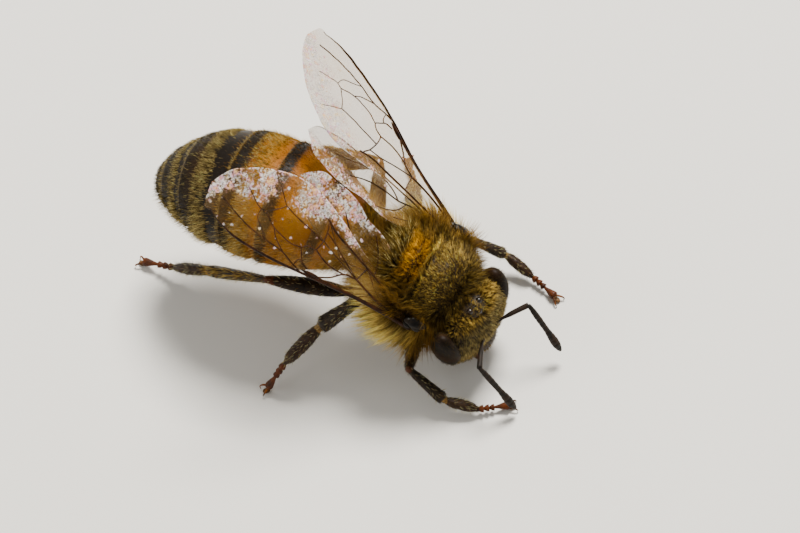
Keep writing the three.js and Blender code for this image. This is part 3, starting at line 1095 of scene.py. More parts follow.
@dataclass
class Leg:
    """One leg: its joints, its skin, its claws and spines."""

    side: str
    row: str
    tarsomeres: int = 4
    bead: float = 0.135
    core: float = 0.06
    fringe: float = 0.07
    claw: float = 0.28
    plan: LegPlan = field(init=False)
    joints: list[Vector] = field(init=False)

    def __post_init__(self) -> None:
        """Works out the joints as the CAD solids have them."""
        self.plan = PLANS[self.row]
        sign = SIDES[self.side]
        *ways, tarsus = STANCE[self.side, self.row]
        joints = [TRUNK @ place(spot, sign) for spot in (self.plan.root, self.plan.hip)]
        for length, (azimuth, lift) in zip(self.plan.lengths, ways):
            joints.append(joints[-1] + heading(sign, azimuth, lift) * length)
        drop = joints[-1].z - FOOT_AXIS
        lift = -math.degrees(math.asin(min(1.0, drop / self.plan.lengths[3])))
        joints.append(joints[-1] + heading(sign, tarsus, lift) * self.plan.lengths[3])
        self.joints = joints

    @property
    def name(self) -> str:
        """The leg's part of a node's name."""
        return f"leg_{self.side}_{self.row}"

    def nodes(self) -> list[str]:
        """The CAD nodes of the leg."""
        return [f"{self.name}_{segment}" for segment in SEGMENTS]

    def way(self, i: int) -> Vector:
        """Unit direction of piece i."""
        return (self.joints[i + 1] - self.joints[i]).normalized()

    def radii(self) -> list[float]:
        """Half widths of the five pieces under the coat.

        Returns:
            The half widths in mm, from the coxa to the foot.
        """
        halves = [0.42, *self.plan.halves[:3]]
        if self.row == "hind":
            halves[2] -= self.fringe
            halves[3] -= self.fringe
        return [half - LEG_COAT for half in halves] + [self.core]

    def frame(self, i: int) -> Matrix:
        """Piece i's own frame, with Y along it and X across its flat."""
        roll = -SIDES[self.side] * self.plan.roll if i in (2, 3) else 0.0
        return along(self.joints[i], self.way(i), roll)

    def build_skin(self, shaper: Shaper) -> None:
        """Adds the leg's flesh to the skin, down to the foot's thin core.

        Args:
            shaper: grows the skin's shape.
        """
        flats = (0.9, *self.plan.flats)
        radii = self.radii()
        for i, segment in enumerate(SEGMENTS[:4]):
            end = self.joints[i + 1]
            length = (end - self.joints[i]).length
            shaper.limb(self.frame(i), length, radii[i], PROFILES[segment], flats[i], rings=18)
            knot = min(radii[i] * 0.5, radii[i + 1] * 0.9 if i < 3 else 0.1)
            shaper.ball(Matrix.Translation(end), (knot,) * 3, 12)
        shaper.tube(np.linspace(self.joints[4], self.toe(), 8), np.full(8, self.core), 10)

    def build_beads(self, shaper: Shaper) -> None:
        """Adds the foot's goblet-shaped joints, the last one the largest.

        Args:
            shaper: grows the beads.
        """
        whole = (self.toe() - self.joints[4]).length
        at = -0.02
        for i in range(self.tarsomeres):
            last = i == self.tarsomeres - 1
            length = whole + 0.03 - at if last else whole * (0.205 - 0.012 * i)
            half = self.bead * (1.15 if last else 1.0 - 0.05 * i)
            base = self.frame(4) @ Matrix.Translation((0, at, 0))
            shaper.limb(base, length, half, PROFILES["last bead" if last else "bead"], 0.92, 14)
            at += length * 0.93

    def build_spur(self, shaper: Shaper) -> None:
        """Adds the thorn at the end of the tibia.

        Args:
            shaper: grows the thorn.
        """
        way = (self.way(3) + Vector((0, 0, -0.35))).normalized()
        t = np.linspace(0, 1, 8)
        path = np.array(self.joints[3] - self.way(2) * 0.10) + np.outer(t, way) * 0.42
        path[:, 2] -= self.radii()[2] * 0.55
        shaper.tube(path, 0.030 * (1 - t * 0.85), 7)

    def toe(self) -> Vector:
        """Where the last bead ends, just above the floor."""
        return self.joints[5] - self.way(4) * 0.12

    def level(self) -> Vector:
        """The foot's direction along the floor."""
        way = self.way(4)
        return Vector((way.x, way.y, 0)).normalized()

    def build_claws(self, shaper: Shaper) -> None:
        """Adds two hooked claws that rest on the floor.

        Args:
            shaper: grows the claws.
        """
        toe, fore = np.array(self.toe()), np.array(self.level())
        across = np.array((-fore[1], fore[0], 0))
        t = np.linspace(0, 1, 12)[:, None]
        for turn in (-1, 1):
            path = toe + fore * (self.claw * np.sin(t * math.pi * 0.62))
            path += across * turn * (0.05 + 0.16 * np.sin(t * math.pi * 0.75))
            path -= UP * ((toe[2] - 0.03) * t**1.7)
            shaper.tube(path, 0.045 * (1 - t[:, 0] * 0.85) + 0.004, 8)
            inner = path[:8] * 0.55 + path[0] * 0.45 + fore * 0.02
            shaper.tube(inner, np.linspace(0.03, 0.006, 8), 6)

    def build_sole(self, shaper: Shaper) -> None:
        """Adds the soft pad between the claws and its stem."""
        spot = self.toe() + self.level() * 0.10
        spot.z = 0.075
        shaper.ball(along(spot, self.level()), (0.11, 0.14, 0.072), 20)
        shaper.tube(np.linspace(self.toe(), spot, 6), np.linspace(0.07, 0.05, 6), 8)


# ---- skin


HEAD_CENTRE: Place = (0, -0.92, -0.02)
THORAX_LUMPS: Lumps = (
    ((0, -0.62, 0.52), (1.46, 1.12, 1.27)),  # scutum
    ((0, 0.72, 1.00), (1.02, 0.36, 0.52)),  # scutellum
    ((0, 1.12, 0.34), (1.20, 0.58, 0.88)),  # propodeum
    ((0, -1.42, 0.25), (1.20, 0.42, 0.72)),  # collar
    ((1.35, -0.25, -0.25), (0.62, 0.95, 0.95)),  # sides
    ((1.50, 0.15, 0.62), (0.35, 0.75, 0.24)),  # shelves under the wings
    ((0.55, -0.6, -1.2), (0.62, 0.8, 0.5)),  # breast
)
HEAD_LUMPS: Lumps = (
    ((0, -1.40, -0.76), (0.60, 0.36, 0.46)),  # clypeus
    ((0, -1.50, -0.02), (0.24, 0.23, 0.36)),  # between the feelers
    ((0, -1.28, -1.27), (0.42, 0.26, 0.15)),  # labrum
    ((0, -0.98, 1.28), (0.62, 0.42, 0.26)),  # crown
    ((0.62, -1.02, -1.02), (0.30, 0.36, 0.30)),  # cheeks
    ((0.36, -1.52, 0.06), (0.17, 0.17, 0.17)),  # feeler sockets
)


@dataclass
class Skin:
    """The one seamless skin of head, thorax, waist, gaster core and legs."""

    legs: list[Leg]
    voxel: float = 0.05
    rounds: int = 3
    keep: float = 0.72
    # Half widths of the bare thorax at stations from its front to its rear.
    chest: Stations = (
        (-1.85, 0.3), (-1.7, 0.85), (-1.3, 1.35), (-0.7, 1.84), (0.0, 2.0), (0.7, 1.88),
        (1.15, 1.55), (1.5, 1.1), (1.72, 0.6),
    )

    def build(self) -> Mesh:
        """Builds and joins every part.

        Returns:
            The skin's mesh, in millimetres.
        """
        shaper = Shaper()
        self._thorax(shaper)
        self._head(shaper)
        self._waist(shaper)
        for leg in self.legs:
            leg.build_skin(shaper)
        return fused(shaper, self.voxel, self.rounds, self.keep)

    def _thorax(self, shaper: Shaper) -> None:
        """Adds the thorax with its dome, collar, sides and scutellum, and the neck.

        Args:
            shaper: grows the skin's shape.
        """
        frames = []
        for y in np.linspace(self.chest[0][0], self.chest[-1][0], 26):
            wide = float(curve(self.chest, y))
            spot = Matrix.Translation((0, y, -0.12 * wide))
            frames.append(TRUNK @ spot @ section(wide, wide * 0.84))
        shaper.loft(frames, 40)
        shaper.lumps(TRUNK, THORAX_LUMPS, 40)
        points = np.linspace(TRUNK @ Vector((0, -1.3, -0.1)), HEAD @ Vector((0, -0.5, 0)), 8)
        shaper.tube(points, np.linspace(0.62, 0.5, 8), 20)

    def _head(self, shaper: Shaper) -> None:
        """Adds the shield-shaped head with its face.

        Args:
            shaper: grows the skin's shape.
        """
        capsule = HEAD @ Matrix.Translation(HEAD_CENTRE)
        inverse = capsule.inverted()
        for vert in shaper.ball(capsule, (1.68, 0.76, 1.46), 56):
            local = inverse @ vert.co
            down = max(0.0, -local.z / 1.46)
            local.x *= 1 - 0.40 * down * down
            local.y *= (1 - 0.12 * down) * (0.78 if local.y > 0 else 1.0)
            vert.co = capsule @ local
        shaper.lumps(HEAD, HEAD_LUMPS, 28)

    def _waist(self, shaper: Shaper) -> None:
        """Adds the narrow waist and the gaster's core under its plates.

        Args:
            shaper: grows the skin's shape.
        """
        s = np.concatenate((np.linspace(-0.55, 0.3, 8), np.linspace(0.45, ARC.length - 0.12, 40)))
        reach = np.maximum(ARC.half(s) - 0.24, 0.25)
        stalk = s < 0.3
        reach[stalk] = 0.42 - 0.12 * np.clip((s[stalk] + 0.55) / 0.85, 0, 1)
        reach[-1] = 0.05
        frames = [
            framed(across, way, up, point) @ section(r, r * ARC.belly)
            for point, across, way, up, r in zip(*ARC.frames(s), reach)
        ]
        shaper.loft(frames, 36)


def face_shield(x: Array, z: Array) -> Array:
    """A share of 1 on the shield over the mouth, in the head's own frame."""
    return step(1.06, 0.94, np.hypot(x / 0.60, (z + 0.76) / 0.46))


FAR = 9.0
THORAX_RADII: Place = (1.95, 1.8, 1.8)
HEAD_RADII: Place = (1.68, 0.8, 1.5)


class Region(Enum):
    """Parts of the skin that carry different hair."""

    THORAX = 0
    HEAD = 1
    GASTER = 2
    LEG = 3


@dataclass
class SkinMap:
    """Says which part of the bee each point of the skin belongs to."""

    legs: list[Leg]

    def read(self, points: Array) -> dict[str, Array]:
        """Sorts points by region.

        Args:
            points: places on the skin, in millimetres.

        Returns:
            The region, and for legs the leg, the piece and the share along it.
        """
        thorax = np.linalg.norm(into(TRUNK, points) / THORAX_RADII, axis=1) - 1
        head = into(HEAD, points) - (0, -0.95, -0.02)
        head = np.linalg.norm(head / HEAD_RADII, axis=1) - 1
        s, _, reach = ARC.locate(points)
        gaster = np.where(s > 0.0, reach - ARC.half(s) + 0.24, FAR)
        best = np.full(len(points), FAR)
        leg_id, piece = np.zeros((2, len(points)), int)
        share = np.zeros(len(points))
        for number, leg in enumerate(self.legs):
            for i, radius in enumerate(leg.radii()):
                a, b = np.array(leg.joints[i]), np.array(leg.joints[i + 1])
                line = b - a
                t = np.clip((points - a) @ line / (line @ line), 0, 1)
                gap = np.linalg.norm(points - a - t[:, None] * line, axis=1) - radius
                closer = gap < best
                best = np.where(closer, gap, best)
                leg_id[closer], piece[closer], share[closer] = number, i, t[closer]
        region = np.argmin((thorax * 1.8, head * 0.9, gaster, best), axis=0)
        return {"region": region, "leg": leg_id, "piece": piece, "share": share}

    def tint(self, points: Array, where: dict[str, Array]) -> Array:
        """The skin's shade at each point.

        Args:
            points: places on the skin.
            where: their reading on the chart.

        Returns:
            One colour a point.
        """
        piece, share = where["piece"], where["share"]
        leg = where["region"] == Region.LEG.value
        head = where["region"] == Region.HEAD.value
        x, y, z = into(HEAD, points).T
        ankle = (piece == 2) * step(0.955, 0.985, share) + (piece == 3) * step(0.06, 0.01, share)
        knee = (piece == 1) * step(0.97, 1.0, share) + (piece == 2) * step(0.04, 0.0, share)
        return layered(
            BLACK,
            (RED_BROWN, leg * ((piece == 4) + (piece == 3) * 0.10)),
            (PALE_JOINT, leg * ankle * 0.85),
            (RED_BROWN, leg * knee * 0.6),
            (FACE_BROWN, head * step(-1.2, -1.35, y) * face_shield(x, z)),
            (RED_BROWN, head * step(-1.14, -1.24, z) * 0.6),
        )


# ---- plates


@dataclass
class Gaster:
    """The overlapping plates of the gaster."""

    coat: float = 0.10
    lap: float = 0.30
    wall: float = 0.035
    top_reach: float = 116.0
    side_lap: float = 14.0
    step_out: float = 0.055

    def inset(self, i: int, s: Array, below: bool) -> Array:
        """How far plate i lies under the coat's tips at lengths s.

        Args:
            i: the plate's number.
            s: lengths from the waist.
            below: whether it is on the belly.

        Returns:
            The depths in mm.
        """
        start, end = self.span(i)
        t = np.clip((s - start) / (end - start), 0, 1)
        lift = self.step_out * (t**1.5 - 0.6)
        return self.coat - lift + (0.07 if below else 0.0)

    def span(self, i: int) -> tuple[float, float]:
        """Where plate i starts under its neighbour and where it ends."""
        start = 0.05 if i == 0 else ARC.ends[i - 1] - self.lap
        end = ARC.ends[i] - (0.02 if i == len(ARC.ends) - 1 else 0.0)
        return start, end

    def _plate(self, shaper: Shaper, i: int, below: bool) -> None:
        """Adds one plate of the back or the belly.

        Args:
            shaper: grows the plate.
            i: its number.
            below: whether it is on the belly.
        """
        start, end = self.span(i)
        low, high = -self.top_reach, self.top_reach
        if below:
            low, high = high - self.side_lap, 360 + low + self.side_lap

        def shape(across: Array, length: Array) -> Array:
            """Puts the grid on the gaster.

            Args:
                across: shares round the plate.
                length: shares along it.

            Returns:
                The points.
            """
            theta = np.radians(low + (high - low) * across)
            s = start + (end - start) * length
            if i < 5 and not below:
                s = s - 0.16 * np.abs(across * 2 - 1) ** 6 * length
            curl = 0.015 * step(0.93, 1.0, length) * (i < 5)
            return ARC.surface(s, theta, self.inset(i, s, below) + curl)[0]

        shaper.thicken(shaper.sheet(60 if below else 84, 26, shape), self.wall)

    def build(self) -> None:
        """Builds the plates, each one in place of its CAD ring."""
        backs = PlateFinish("banded plate").material()
        bellies = PlateFinish("belly plate", below=True).material()
        for i in range(len(ARC.ends)):
            slot = Slot.AMBER if i < 3 else Slot.DARK
            for below, material, word in ((False, backs, "back"), (True, bellies, "belly")):
                shaper = Shaper()
                self._plate(shaper, i, below)
                mesh = shaper.mesh()
                s, theta, _ = ARC.locate(coordinates(mesh))
                unwrap(mesh, "Plate", theta / TAU + 0.5, s / ARC.length)
                nodes = [] if below else [f"gaster_{i + 1}"]
                finished(mesh, f"gaster_{word}_plate_{i + 1}", material, slot, nodes)

# ---- parts of the head


@dataclass
class HeadParts:
    """Eyes, simple eyes, feelers, jaws and tongue."""

    eye_at: Place = (0.82, 1.45, 0.15)
    eye_radii: Place = (0.44, 0.60, 1.13)
    eye_tilt: float = 9.0
    facet: float = 0.004
    feeler_root: Place = (1.62, 0.36, 0.05)
    scape: tuple[float, float, float] = (1.41, 58.0, 16.0)
    flagellum: tuple[float, float, float] = (2.48, -4.0, -50.0)
    beads: int = 11
    feeler_half: float = 0.105
    stalk_girth: Stations = ((0, 0.075), (0.06, 0.10), (0.12, 0.07), (0.5, 0.088), (1, 0.1))
    whip_girth: Stations = (
        (0, 0.66), (0.05, 0.8), (0.12, 0.95), (0.5, 1), (0.94, 0.98), (1, 0.45),
    )
    jaw_girth: Stations = (
        (0, 0.17), (0.15, 0.2), (0.45, 0.13), (0.75, 0.19), (0.92, 0.16), (1, 0.03),
    )
    tongue_girth: Stations = ((0, 1.1), (0.5, 1), (0.9, 0.7), (1, 0.15))

    def build(self) -> None:
        """Builds every part."""
        self._eyes()
        self._simple_eyes()
        self._feelers()
        self._jaws()
        self._tongue()

    def eye_frame(self, side: int) -> Matrix:
        """The place and the turn of one eye."""
        spot = Matrix.Translation(place(self.eye_at, side))
        return HEAD @ spot @ turned("Y", side * self.eye_tilt)

    def on_eye(self, facing: Array, side: Array) -> Rows:
        """Points and normals of the eyes in directions from their middles.

        Args:
            facing: unit directions in an eye's own frame.
            side: 1 for the left eye and -1 for the right, one for each direction.

        Returns:
            The points and the unit normals in the model's frame.
        """
        points, normals = np.empty_like(facing), np.empty_like(facing)
        for sign in SIDES.values():
            matrix, chosen = self.eye_frame(sign), side == sign
            points[chosen] = out_of(matrix, facing[chosen] * self.eye_radii)
            normals[chosen] = unit(directions(matrix, facing[chosen] / self.eye_radii))
        return points, normals

    def _eyes(self) -> None:
        """Builds the two compound eyes with raised facets."""
        material = EyeFinish().material()
        for name, side in SIDES.items():
            shaper = Shaper()
            where = self.eye_frame(side) @ Matrix.Diagonal((*self.eye_radii, 1))
            bmesh.ops.create_icosphere(shaper.bm, subdivisions=6, radius=1.0, matrix=where)
            for vert in bmesh.ops.poke(shaper.bm, faces=shaper.bm.faces[:])["verts"]:
                vert.co += (where.translation - vert.co).normalized() * self.facet
            mesh = shaper.mesh()
            finished(mesh, f"compound_eye_{name}", material, Slot.EYE, [f"eye_{name}"])

    def _simple_eyes(self) -> None:
        """Builds the three simple eyes on the crown."""
        shaper = Shaper()
        round_eye = (0.13, 0.13, 0.13)
        shaper.lumps(HEAD, (((0, -1.28, 1.30), round_eye), ((0.27, -1.08, 1.44), round_eye)), 24)
        material = EyeFinish("simple eye", 0.5, 0.08).material()
        finished(shaper.mesh(), "simple_eyes", material, Slot.EYE)

    @staticmethod
    def _horn(
        name: str,
        node: str,
        finish: tuple[Material, Slot],
        tubes: Sequence[tuple[Array, Array]],
        sides: int = 16,
        flat: float = 1.0,
    ) -> None:
        """Builds a piece of tubes in the head's frame.

        Args:
            name: the piece's name.
            node: the CAD node that it stands for.
            finish: its material and its slot.
            tubes: pairs of a path and its radii.
            sides: corners of a ring.
            flat: height as a share of the width.
        """
        shaper = Shaper()
        for path, radii in tubes:
            shaper.tube(out_of(HEAD, path), radii, sides, flat)
        finished(shaper.mesh(), name, *finish, [node])

    def _feelers(self) -> None:
        """Builds the elbowed feelers, ringed along the whip."""
        horn = HornFinish("feeler", BLACK, BROWN_BLACK, 0.5, 24.0).material(), Slot.DARK
        for name, side in SIDES.items():
            root = place(self.feeler_root, side)
            length, yaw, lift = self.scape
            elbow = root + heading(side, yaw, lift) * length
            t = np.linspace(0, 1, 22)
            stalk = np.linspace(root, elbow, 22) + np.outer(np.sin(t * math.pi), (0, 0, 0.05))
            tube = (stalk, curve(self.stalk_girth, t) * 1.05)
            self._horn(f"feeler_stalk_{name}", f"antenna_scape_{name}", horn, [tube])
            length, yaw, lift = self.flagellum
            t = np.linspace(0, 1, 10 * self.beads)
            whip = np.array(elbow) + np.outer(t, heading(side, yaw, lift) * length)
            phase = np.abs(((t * self.beads) % 1.0) * 2 - 1)
            radii = self.feeler_half * (1 - 0.16 * phase**6) * curve(self.whip_girth, t)
            tube = (whip + np.outer(t**2, (0, 0.16, 0)), radii)
            self._horn(f"feeler_whip_{name}", f"antenna_flagellum_{name}", horn, [tube])

    def _jaws(self) -> None:
        """Builds the spoon-shaped jaws."""
        horn = HornFinish("jaw", RED_BROWN, (0.05, 0.016, 0.005), 0.3).material(), Slot.BROWN
        t = np.linspace(0, 1, 20)
        for name, side in SIDES.items():
            x, y = side * (0.52 - 0.28 * t**1.4), -1.08 - 0.22 * np.sin(t * math.pi * 0.55)
            tube = (np.stack((x, y, -1.12 - 0.82 * t), axis=1), curve(self.jaw_girth, t))
            self._horn(f"jaw_{name}", f"mandible_{name}", horn, [tube], 18, 0.72)

    def _tongue(self) -> None:
        """Builds the folded tongue in its sheath."""
        t = np.linspace(0, 1, 18)
        y = -0.55 + 0.42 * t + 0.1 * np.sin(t * math.pi)
        tubes = []
        for x, wide, reach in ((0.0, 0.07, 1.06), (0.11, 0.1, 0.9), (-0.11, 0.1, 0.9)):
            line = np.stack((x * (1 - 0.4 * t), y, -0.95 - reach * t * 0.88), axis=1)
            tubes.append((line, wide * curve(self.tongue_girth, t)))
        material = HornFinish("tongue", (0.20, 0.07, 0.015), (0.09, 0.03, 0.008), 0.38).material()
        self._horn("tongue", "proboscis", (material, Slot.BROWN), tubes, 14)


# ---- wings

Path = Sequence[Pair]


@dataclass(frozen=True)
class WingPlan:
    """A wing's outline, rib, veins and dark mark: x runs to the tip, y to the lead."""

    hinge: Place
    size: float
    lead: Stations
    trail: Stations
    rib: Pair
    veins: tuple[tuple[float, Path], ...]
    mark: Pair | None = None

    @property
    def length(self) -> float:
        """From the hinge to the tip."""
        return self.lead[-1][0]


FOREWING = WingPlan(
    hinge=(0.3, 1.95, 0.62),
    size=1.0,
    lead=(
        (0.0, 0.18), (2.2, 0.34), (4.2, 0.62), (6.3, 0.86), (7.6, 0.84), (8.5, 0.56), (9.0, 0.15),
        (9.1, -0.3),
    ),
    trail=(
        (0.0, -0.2), (1.5, -0.62), (3.0, -1.2), (4.4, -1.78), (5.75, -2.16), (6.4, -2.16),
        (7.3, -1.92), (8.2, -1.45), (8.85, -0.85), (9.1, -0.3),
    ),
    rib=(0.10, 0.045),
    mark=(3.75, 4.6),
    veins=(
        (0.040, ((0.1, 0.04), (0.96, 0.04), (1.87, -0.06), (2.66, -0.24))),
        (0.032, ((2.66, -0.24), (3.18, -0.14), (3.5, 0.2), (3.9, 0.44))),
        (0.030, ((3.18, -0.14), (3.73, -0.11), (4.21, -0.21), (4.54, -0.34))),
        (
            0.028,
            ((4.54, -0.34), (4.89, -0.27), (5.01, -0.13), (4.88, 0.08), (4.71, 0.3), (4.4, 0.4)),
        ),
        (
            0.030,
            (
                (4.6, 0.62), (4.95, 0.55), (5.52, 0.38), (6.3, 0.35), (7.09, 0.28), (7.83, 0.11),
                (8.5, -0.1),
            ),
        ),
        (0.024, ((4.95, 0.55), (4.86, 0.28), (4.75, 0.24))),
        (0.026, ((5.01, -0.13), (5.42, -0.04), (5.86, -0.09), (6.27, -0.18), (6.83, -0.5))),
        (0.022, ((6.83, -0.5), (7.06, -0.48), (7.46, -0.66), (7.84, -0.87))),
        (0.026, ((5.52, 0.38), (5.81, 0.22), (6.07, 0.05), (6.27, -0.18))),
        (0.022, ((6.31, 0.35), (6.66, 0.08), (7.0, -0.18), (7.04, -0.46))),
        (0.030, ((4.54, -0.34), (4.47, -0.71), (4.49, -1.07), (4.62, -1.36))),
        (0.026, ((4.48, -0.71), (5.19, -0.84), (5.83, -0.94), (6.3, -1.05))),
        (0.020, ((6.3, -1.05), (6.57, -1.29), (6.9, -1.61))),
        (0.022, ((6.3, -1.05), (6.54, -0.79), (6.83, -0.5))),
        (0.024, ((2.66, -0.24), (3.4, -0.58), (4.0, -0.88), (4.49, -1.07))),
        (0.024, ((2.66, -0.24), (2.58, -0.5), (2.5, -0.74))),
        (
            0.042,
            ((0.15, -0.1), (1.12, -0.42), (2.1, -0.68), (3.54, -1.06), (4.22, -1.24), (4.75, -1.5)),
        ),
        (0.040, ((0.1, 0.12), (1.5, 0.2), (3.0, 0.36), (3.9, 0.46))),
    ),
)
HINDWING = WingPlan(
    hinge=(-0.45, 1.85, 0.3),
    size=0.98,
    lead=((0.0, 0.15), (2.0, 0.36), (4.0, 0.48), (5.4, 0.36), (6.1, 0.08), (6.3, -0.25)),
    trail=(
        (0.0, -0.2), (0.7, -0.75), (1.5, -1.2), (2.5, -1.4), (3.3, -1.32), (4.2, -1.4), (5.2, -1.2),
        (6.05, -0.75), (6.3, -0.25),
    ),
    rib=(0.05, 0.024),
    veins=(
        (
            0.030,
            ((0.1, 0.04), (1.05, 0.02), (1.82, -0.22), (2.54, -0.3), (3.3, -0.46), (4.1, -0.8)),
        ),
        (0.026, ((1.82, -0.22), (2.3, 0.1), (2.8, 0.36))),
        (0.024, ((2.8, 0.36), (3.7, 0.05), (4.6, -0.3), (5.3, -0.5))),
        (0.022, ((1.4, -0.06), (1.7, -0.55), (2.2, -0.95), (2.7, -1.2))),
        (0.020, ((0.15, -0.08), (0.7, -0.36), (1.3, -0.75), (1.8, -1.05))),
    ),
)
# Yaw outwards from straight back, lift above the trunk, and roof of each wing.
WING_POSES = {
    "right": ((1, 7, 20), (-17, 15, 18)),
    "left": ((19.5, 11, 15), (2.5, 13, 20)),
}


@dataclass
class Wing:
    """One wing: its clear membrane and its veins."""

    name: str
    plan: WingPlan
    side: int
    pose: tuple[float, float, float]
    wall: float = 0.012

    @property
    def matrix(self) -> Matrix:
        """The wing's own frame, Y to the tip and Z its thickness."""
        yaw, lift, roof = self.pose
        turn = turned("Z", -self.side * yaw) @ turned("X", lift) @ turned("Y", self.side * roof)
        return TRUNK @ Matrix.Translation(place(self.plan.hinge, self.side)) @ turn

    def surface(self, x: Array, y: Array) -> Array:
        """Points on the pleated membrane.

        Args:
            x: lengths from the hinge.
            y: distances towards the leading edge.

        Returns:
            Points in the model's frame.
        """
        far = x / self.plan.length
        pleat = 0.055 * np.sin(y * 5.2 + x * 0.9) * (1 - 0.55 * far)
        camber = 0.10 * np.sin(np.clip(far, 0, 1) * math.pi) - 0.05 * (y + 0.6) ** 2
        ripple = 0.018 * np.sin(x * 7.1 + y * 3.0) * np.sin(y * 8.3 - x * 2.2) * step(0.3, 0.9, far)
        k, z = self.plan.size, pleat + camber + ripple
        return out_of(self.matrix, np.stack((self.side * k * y, k * x, z), axis=1))

    def build(self, membrane: Material, rib: Material, vein: Material) -> None:
        """Builds the membrane, the leading rib and the veins.

        Args:
            membrane: the clear skin's finish.
            rib: the rib's finish.
            vein: the veins' finish.
        """
        shaper = Shaper()

        def shape(length: Array, across: Array) -> Array:
            """Puts the grid inside the outline."""
            x = self.plan.length * np.sin(length * math.pi / 2)
            low, high = self.edges(x)
            return self.surface(x, low + (high - low) * across)

        shaper.thicken(shaper.sheet(120, 44, shape), self.wall)
        mesh = shaper.mesh()
        y, x, _ = into(self.matrix, coordinates(mesh)).T / self.plan.size
        low, high = self.edges(x)
        across = (self.side * y - low) / np.maximum(high - low, 1e-3)
        unwrap(mesh, "Wing", *np.clip((x / self.plan.length, across), 0, 1))
        finished(mesh, self.name, membrane, Slot.WING, [self.name])
        self._rib(rib)
        self._veins(vein)

    def edges(self, x: Array) -> Rows:
        """The trailing and the leading edge at lengths from the hinge."""
        return curve(self.plan.trail, x), curve(self.plan.lead, x)

    def _rib(self, material: Material) -> None:
        """Builds the leading rib and, on a forewing, the dark mark beside it.

        Args:
            material: its finish.
        """
        shaper = Shaper()
        plan = self.plan
        end = plan.length * 0.955
        x = np.linspace(-0.05, end, 60)
        radius = plan.rib[0] + (plan.rib[1] - plan.rib[0]) * step(-0.2, 0.5, x / end)
        radius *= 1 - 0.7 * step(0.8, 1.0, x / end)
        shaper.tube(self.surface(x, self.edges(np.maximum(x, 0))[1] - 0.03), radius, 10)
        if plan.mark:
            x = np.linspace(*plan.mark, 14)
            radius = 0.015 + 0.06 * np.sin(np.linspace(0, math.pi, 14))
            shaper.tube(self.surface(x, self.edges(x)[1] - 0.13), radius, 10)
        finished(shaper.mesh(), f"{self.name}_rib", material, Slot.WING)

    def _veins(self, material: Material) -> None:
        """Builds the net of veins as round tubes.

        Args:
            material: their finish.
        """
        shaper = Shaper()
        for half, path in self.plan.veins:
            line = np.array(path)
            run = np.concatenate(((0,), np.cumsum(np.linalg.norm(np.diff(line, axis=0), axis=1))))
            at = np.linspace(0, run[-1], max(8, int(run[-1] / 0.09)))
            x, y = (curve(np.stack((run, line[:, k]), axis=1), at) for k in (0, 1))
            thin = half * (0.95 - 0.20 * step(0.35, 0.7, x / self.plan.length))
            shaper.tube(self.surface(x, y), thin, 8)
        finished(shaper.mesh(), f"{self.name}_veins", material, Slot.WING)


SCALE_LUMPS: Sequence[tuple[Place, float]] = (
    ((0.02, 0.25, 0.01), 0.58), ((-0.07, -0.24, 0.02), 0.62), ((0.12, -0.10, 0.01), 0.60),
    ((-0.09, 0.09, 0.05), 0.50),
)
ROOT_KNOBS: Lumps = (
    ((2.0, -0.18, 0.72), (0.20, 0.24, 0.13)), ((1.9, 0.05, 0.62), (0.16, 0.22, 0.10)),
    ((1.75, -0.10, 0.60), (0.22, 0.18, 0.12)), ((1.8, 0.35, 0.36), (0.15, 0.22, 0.10)),
    ((1.65, 0.5, 0.36), (0.16, 0.16, 0.10)),
)


@dataclass
class Wings:
    """The four wings, their roots and the scales that cover them."""

    scale_at: Place = (0.34, 2.02, 0.98)
    scale_radii: Place = (0.20, 0.31, 0.14)

    def build(self) -> None:
        """Builds the wings and the pieces at their roots."""
        skins = {
            "right": MembraneFinish("right wing membrane"),
            # The left wing is clearer and has weaker painted glints.
            "left": MembraneFinish("left wing membrane", clear=0.23, painted_glint=0.8),
        }
        skins = {name: finish.material() for name, finish in skins.items()}
        rib, vein, shell = (
            finish.material()
            for finish in (
                HornFinish("wing rib", (0.008, 0.0028, 0.001), (0.030, 0.009, 0.002), 0.42),
                HornFinish("wing vein", (0.014, 0.005, 0.0015), (0.055, 0.018, 0.003), 0.45),
                HornFinish(
                    "wing scale", (0.0025, 0.002, 0.0015), (0.012, 0.007, 0.003), 0.32, 7.0, 0.016
                ),
            )
        )
        for name, side in SIDES.items():
            plans = {"forewing": FOREWING, "hindwing": HINDWING}
            for (kind, plan), pose in zip(plans.items(), WING_POSES[name]):
                Wing(f"{kind}_{name}", plan, side, pose).build(skins[name], rib, vein)
            self._root(name, side, shell)

    def _root(self, name: str, side: int, shell: Material) -> None:
        """Builds the scale and the small horny joints beside it.

        Args:
            name: the side's name.
            side: 1 for the left and -1 for the right.
            shell: the finish.
        """
        shaper = Shaper()
        scale = TRUNK @ Matrix.Translation(place(self.scale_at, side)) @ turned("Y", side * 32)
        shaper.ball(scale, self.scale_radii, 40)
        lumps = [(at, tuple(r * share for r in self.scale_radii)) for at, share in SCALE_LUMPS]
        shaper.lumps(scale, lumps, 24, (side,))
        finished(shaper.mesh(), f"wing_scale_{name}", shell, Slot.DARK, [f"tegula_{name}"])
        shaper = Shaper()
        shaper.lumps(TRUNK, ROOT_KNOBS, 20, (side,))
        finished(shaper.mesh(), f"wing_root_{name}", shell, Slot.DARK)


# ---- coat


@dataclass
class Tufts:
    """Arrays that describe tufts: where each stands, leans, ends and its shade."""

    root: Array
    normal: Array
    way: Array
    length: Array
    half: Array
    tint: Array
    spot: Array
    droop: Array

    def part(self, chosen: Any) -> "Tufts":
        """Some of the tufts."""
        return Tufts(*(getattr(self, name)[chosen] for name in self.__dataclass_fields__))


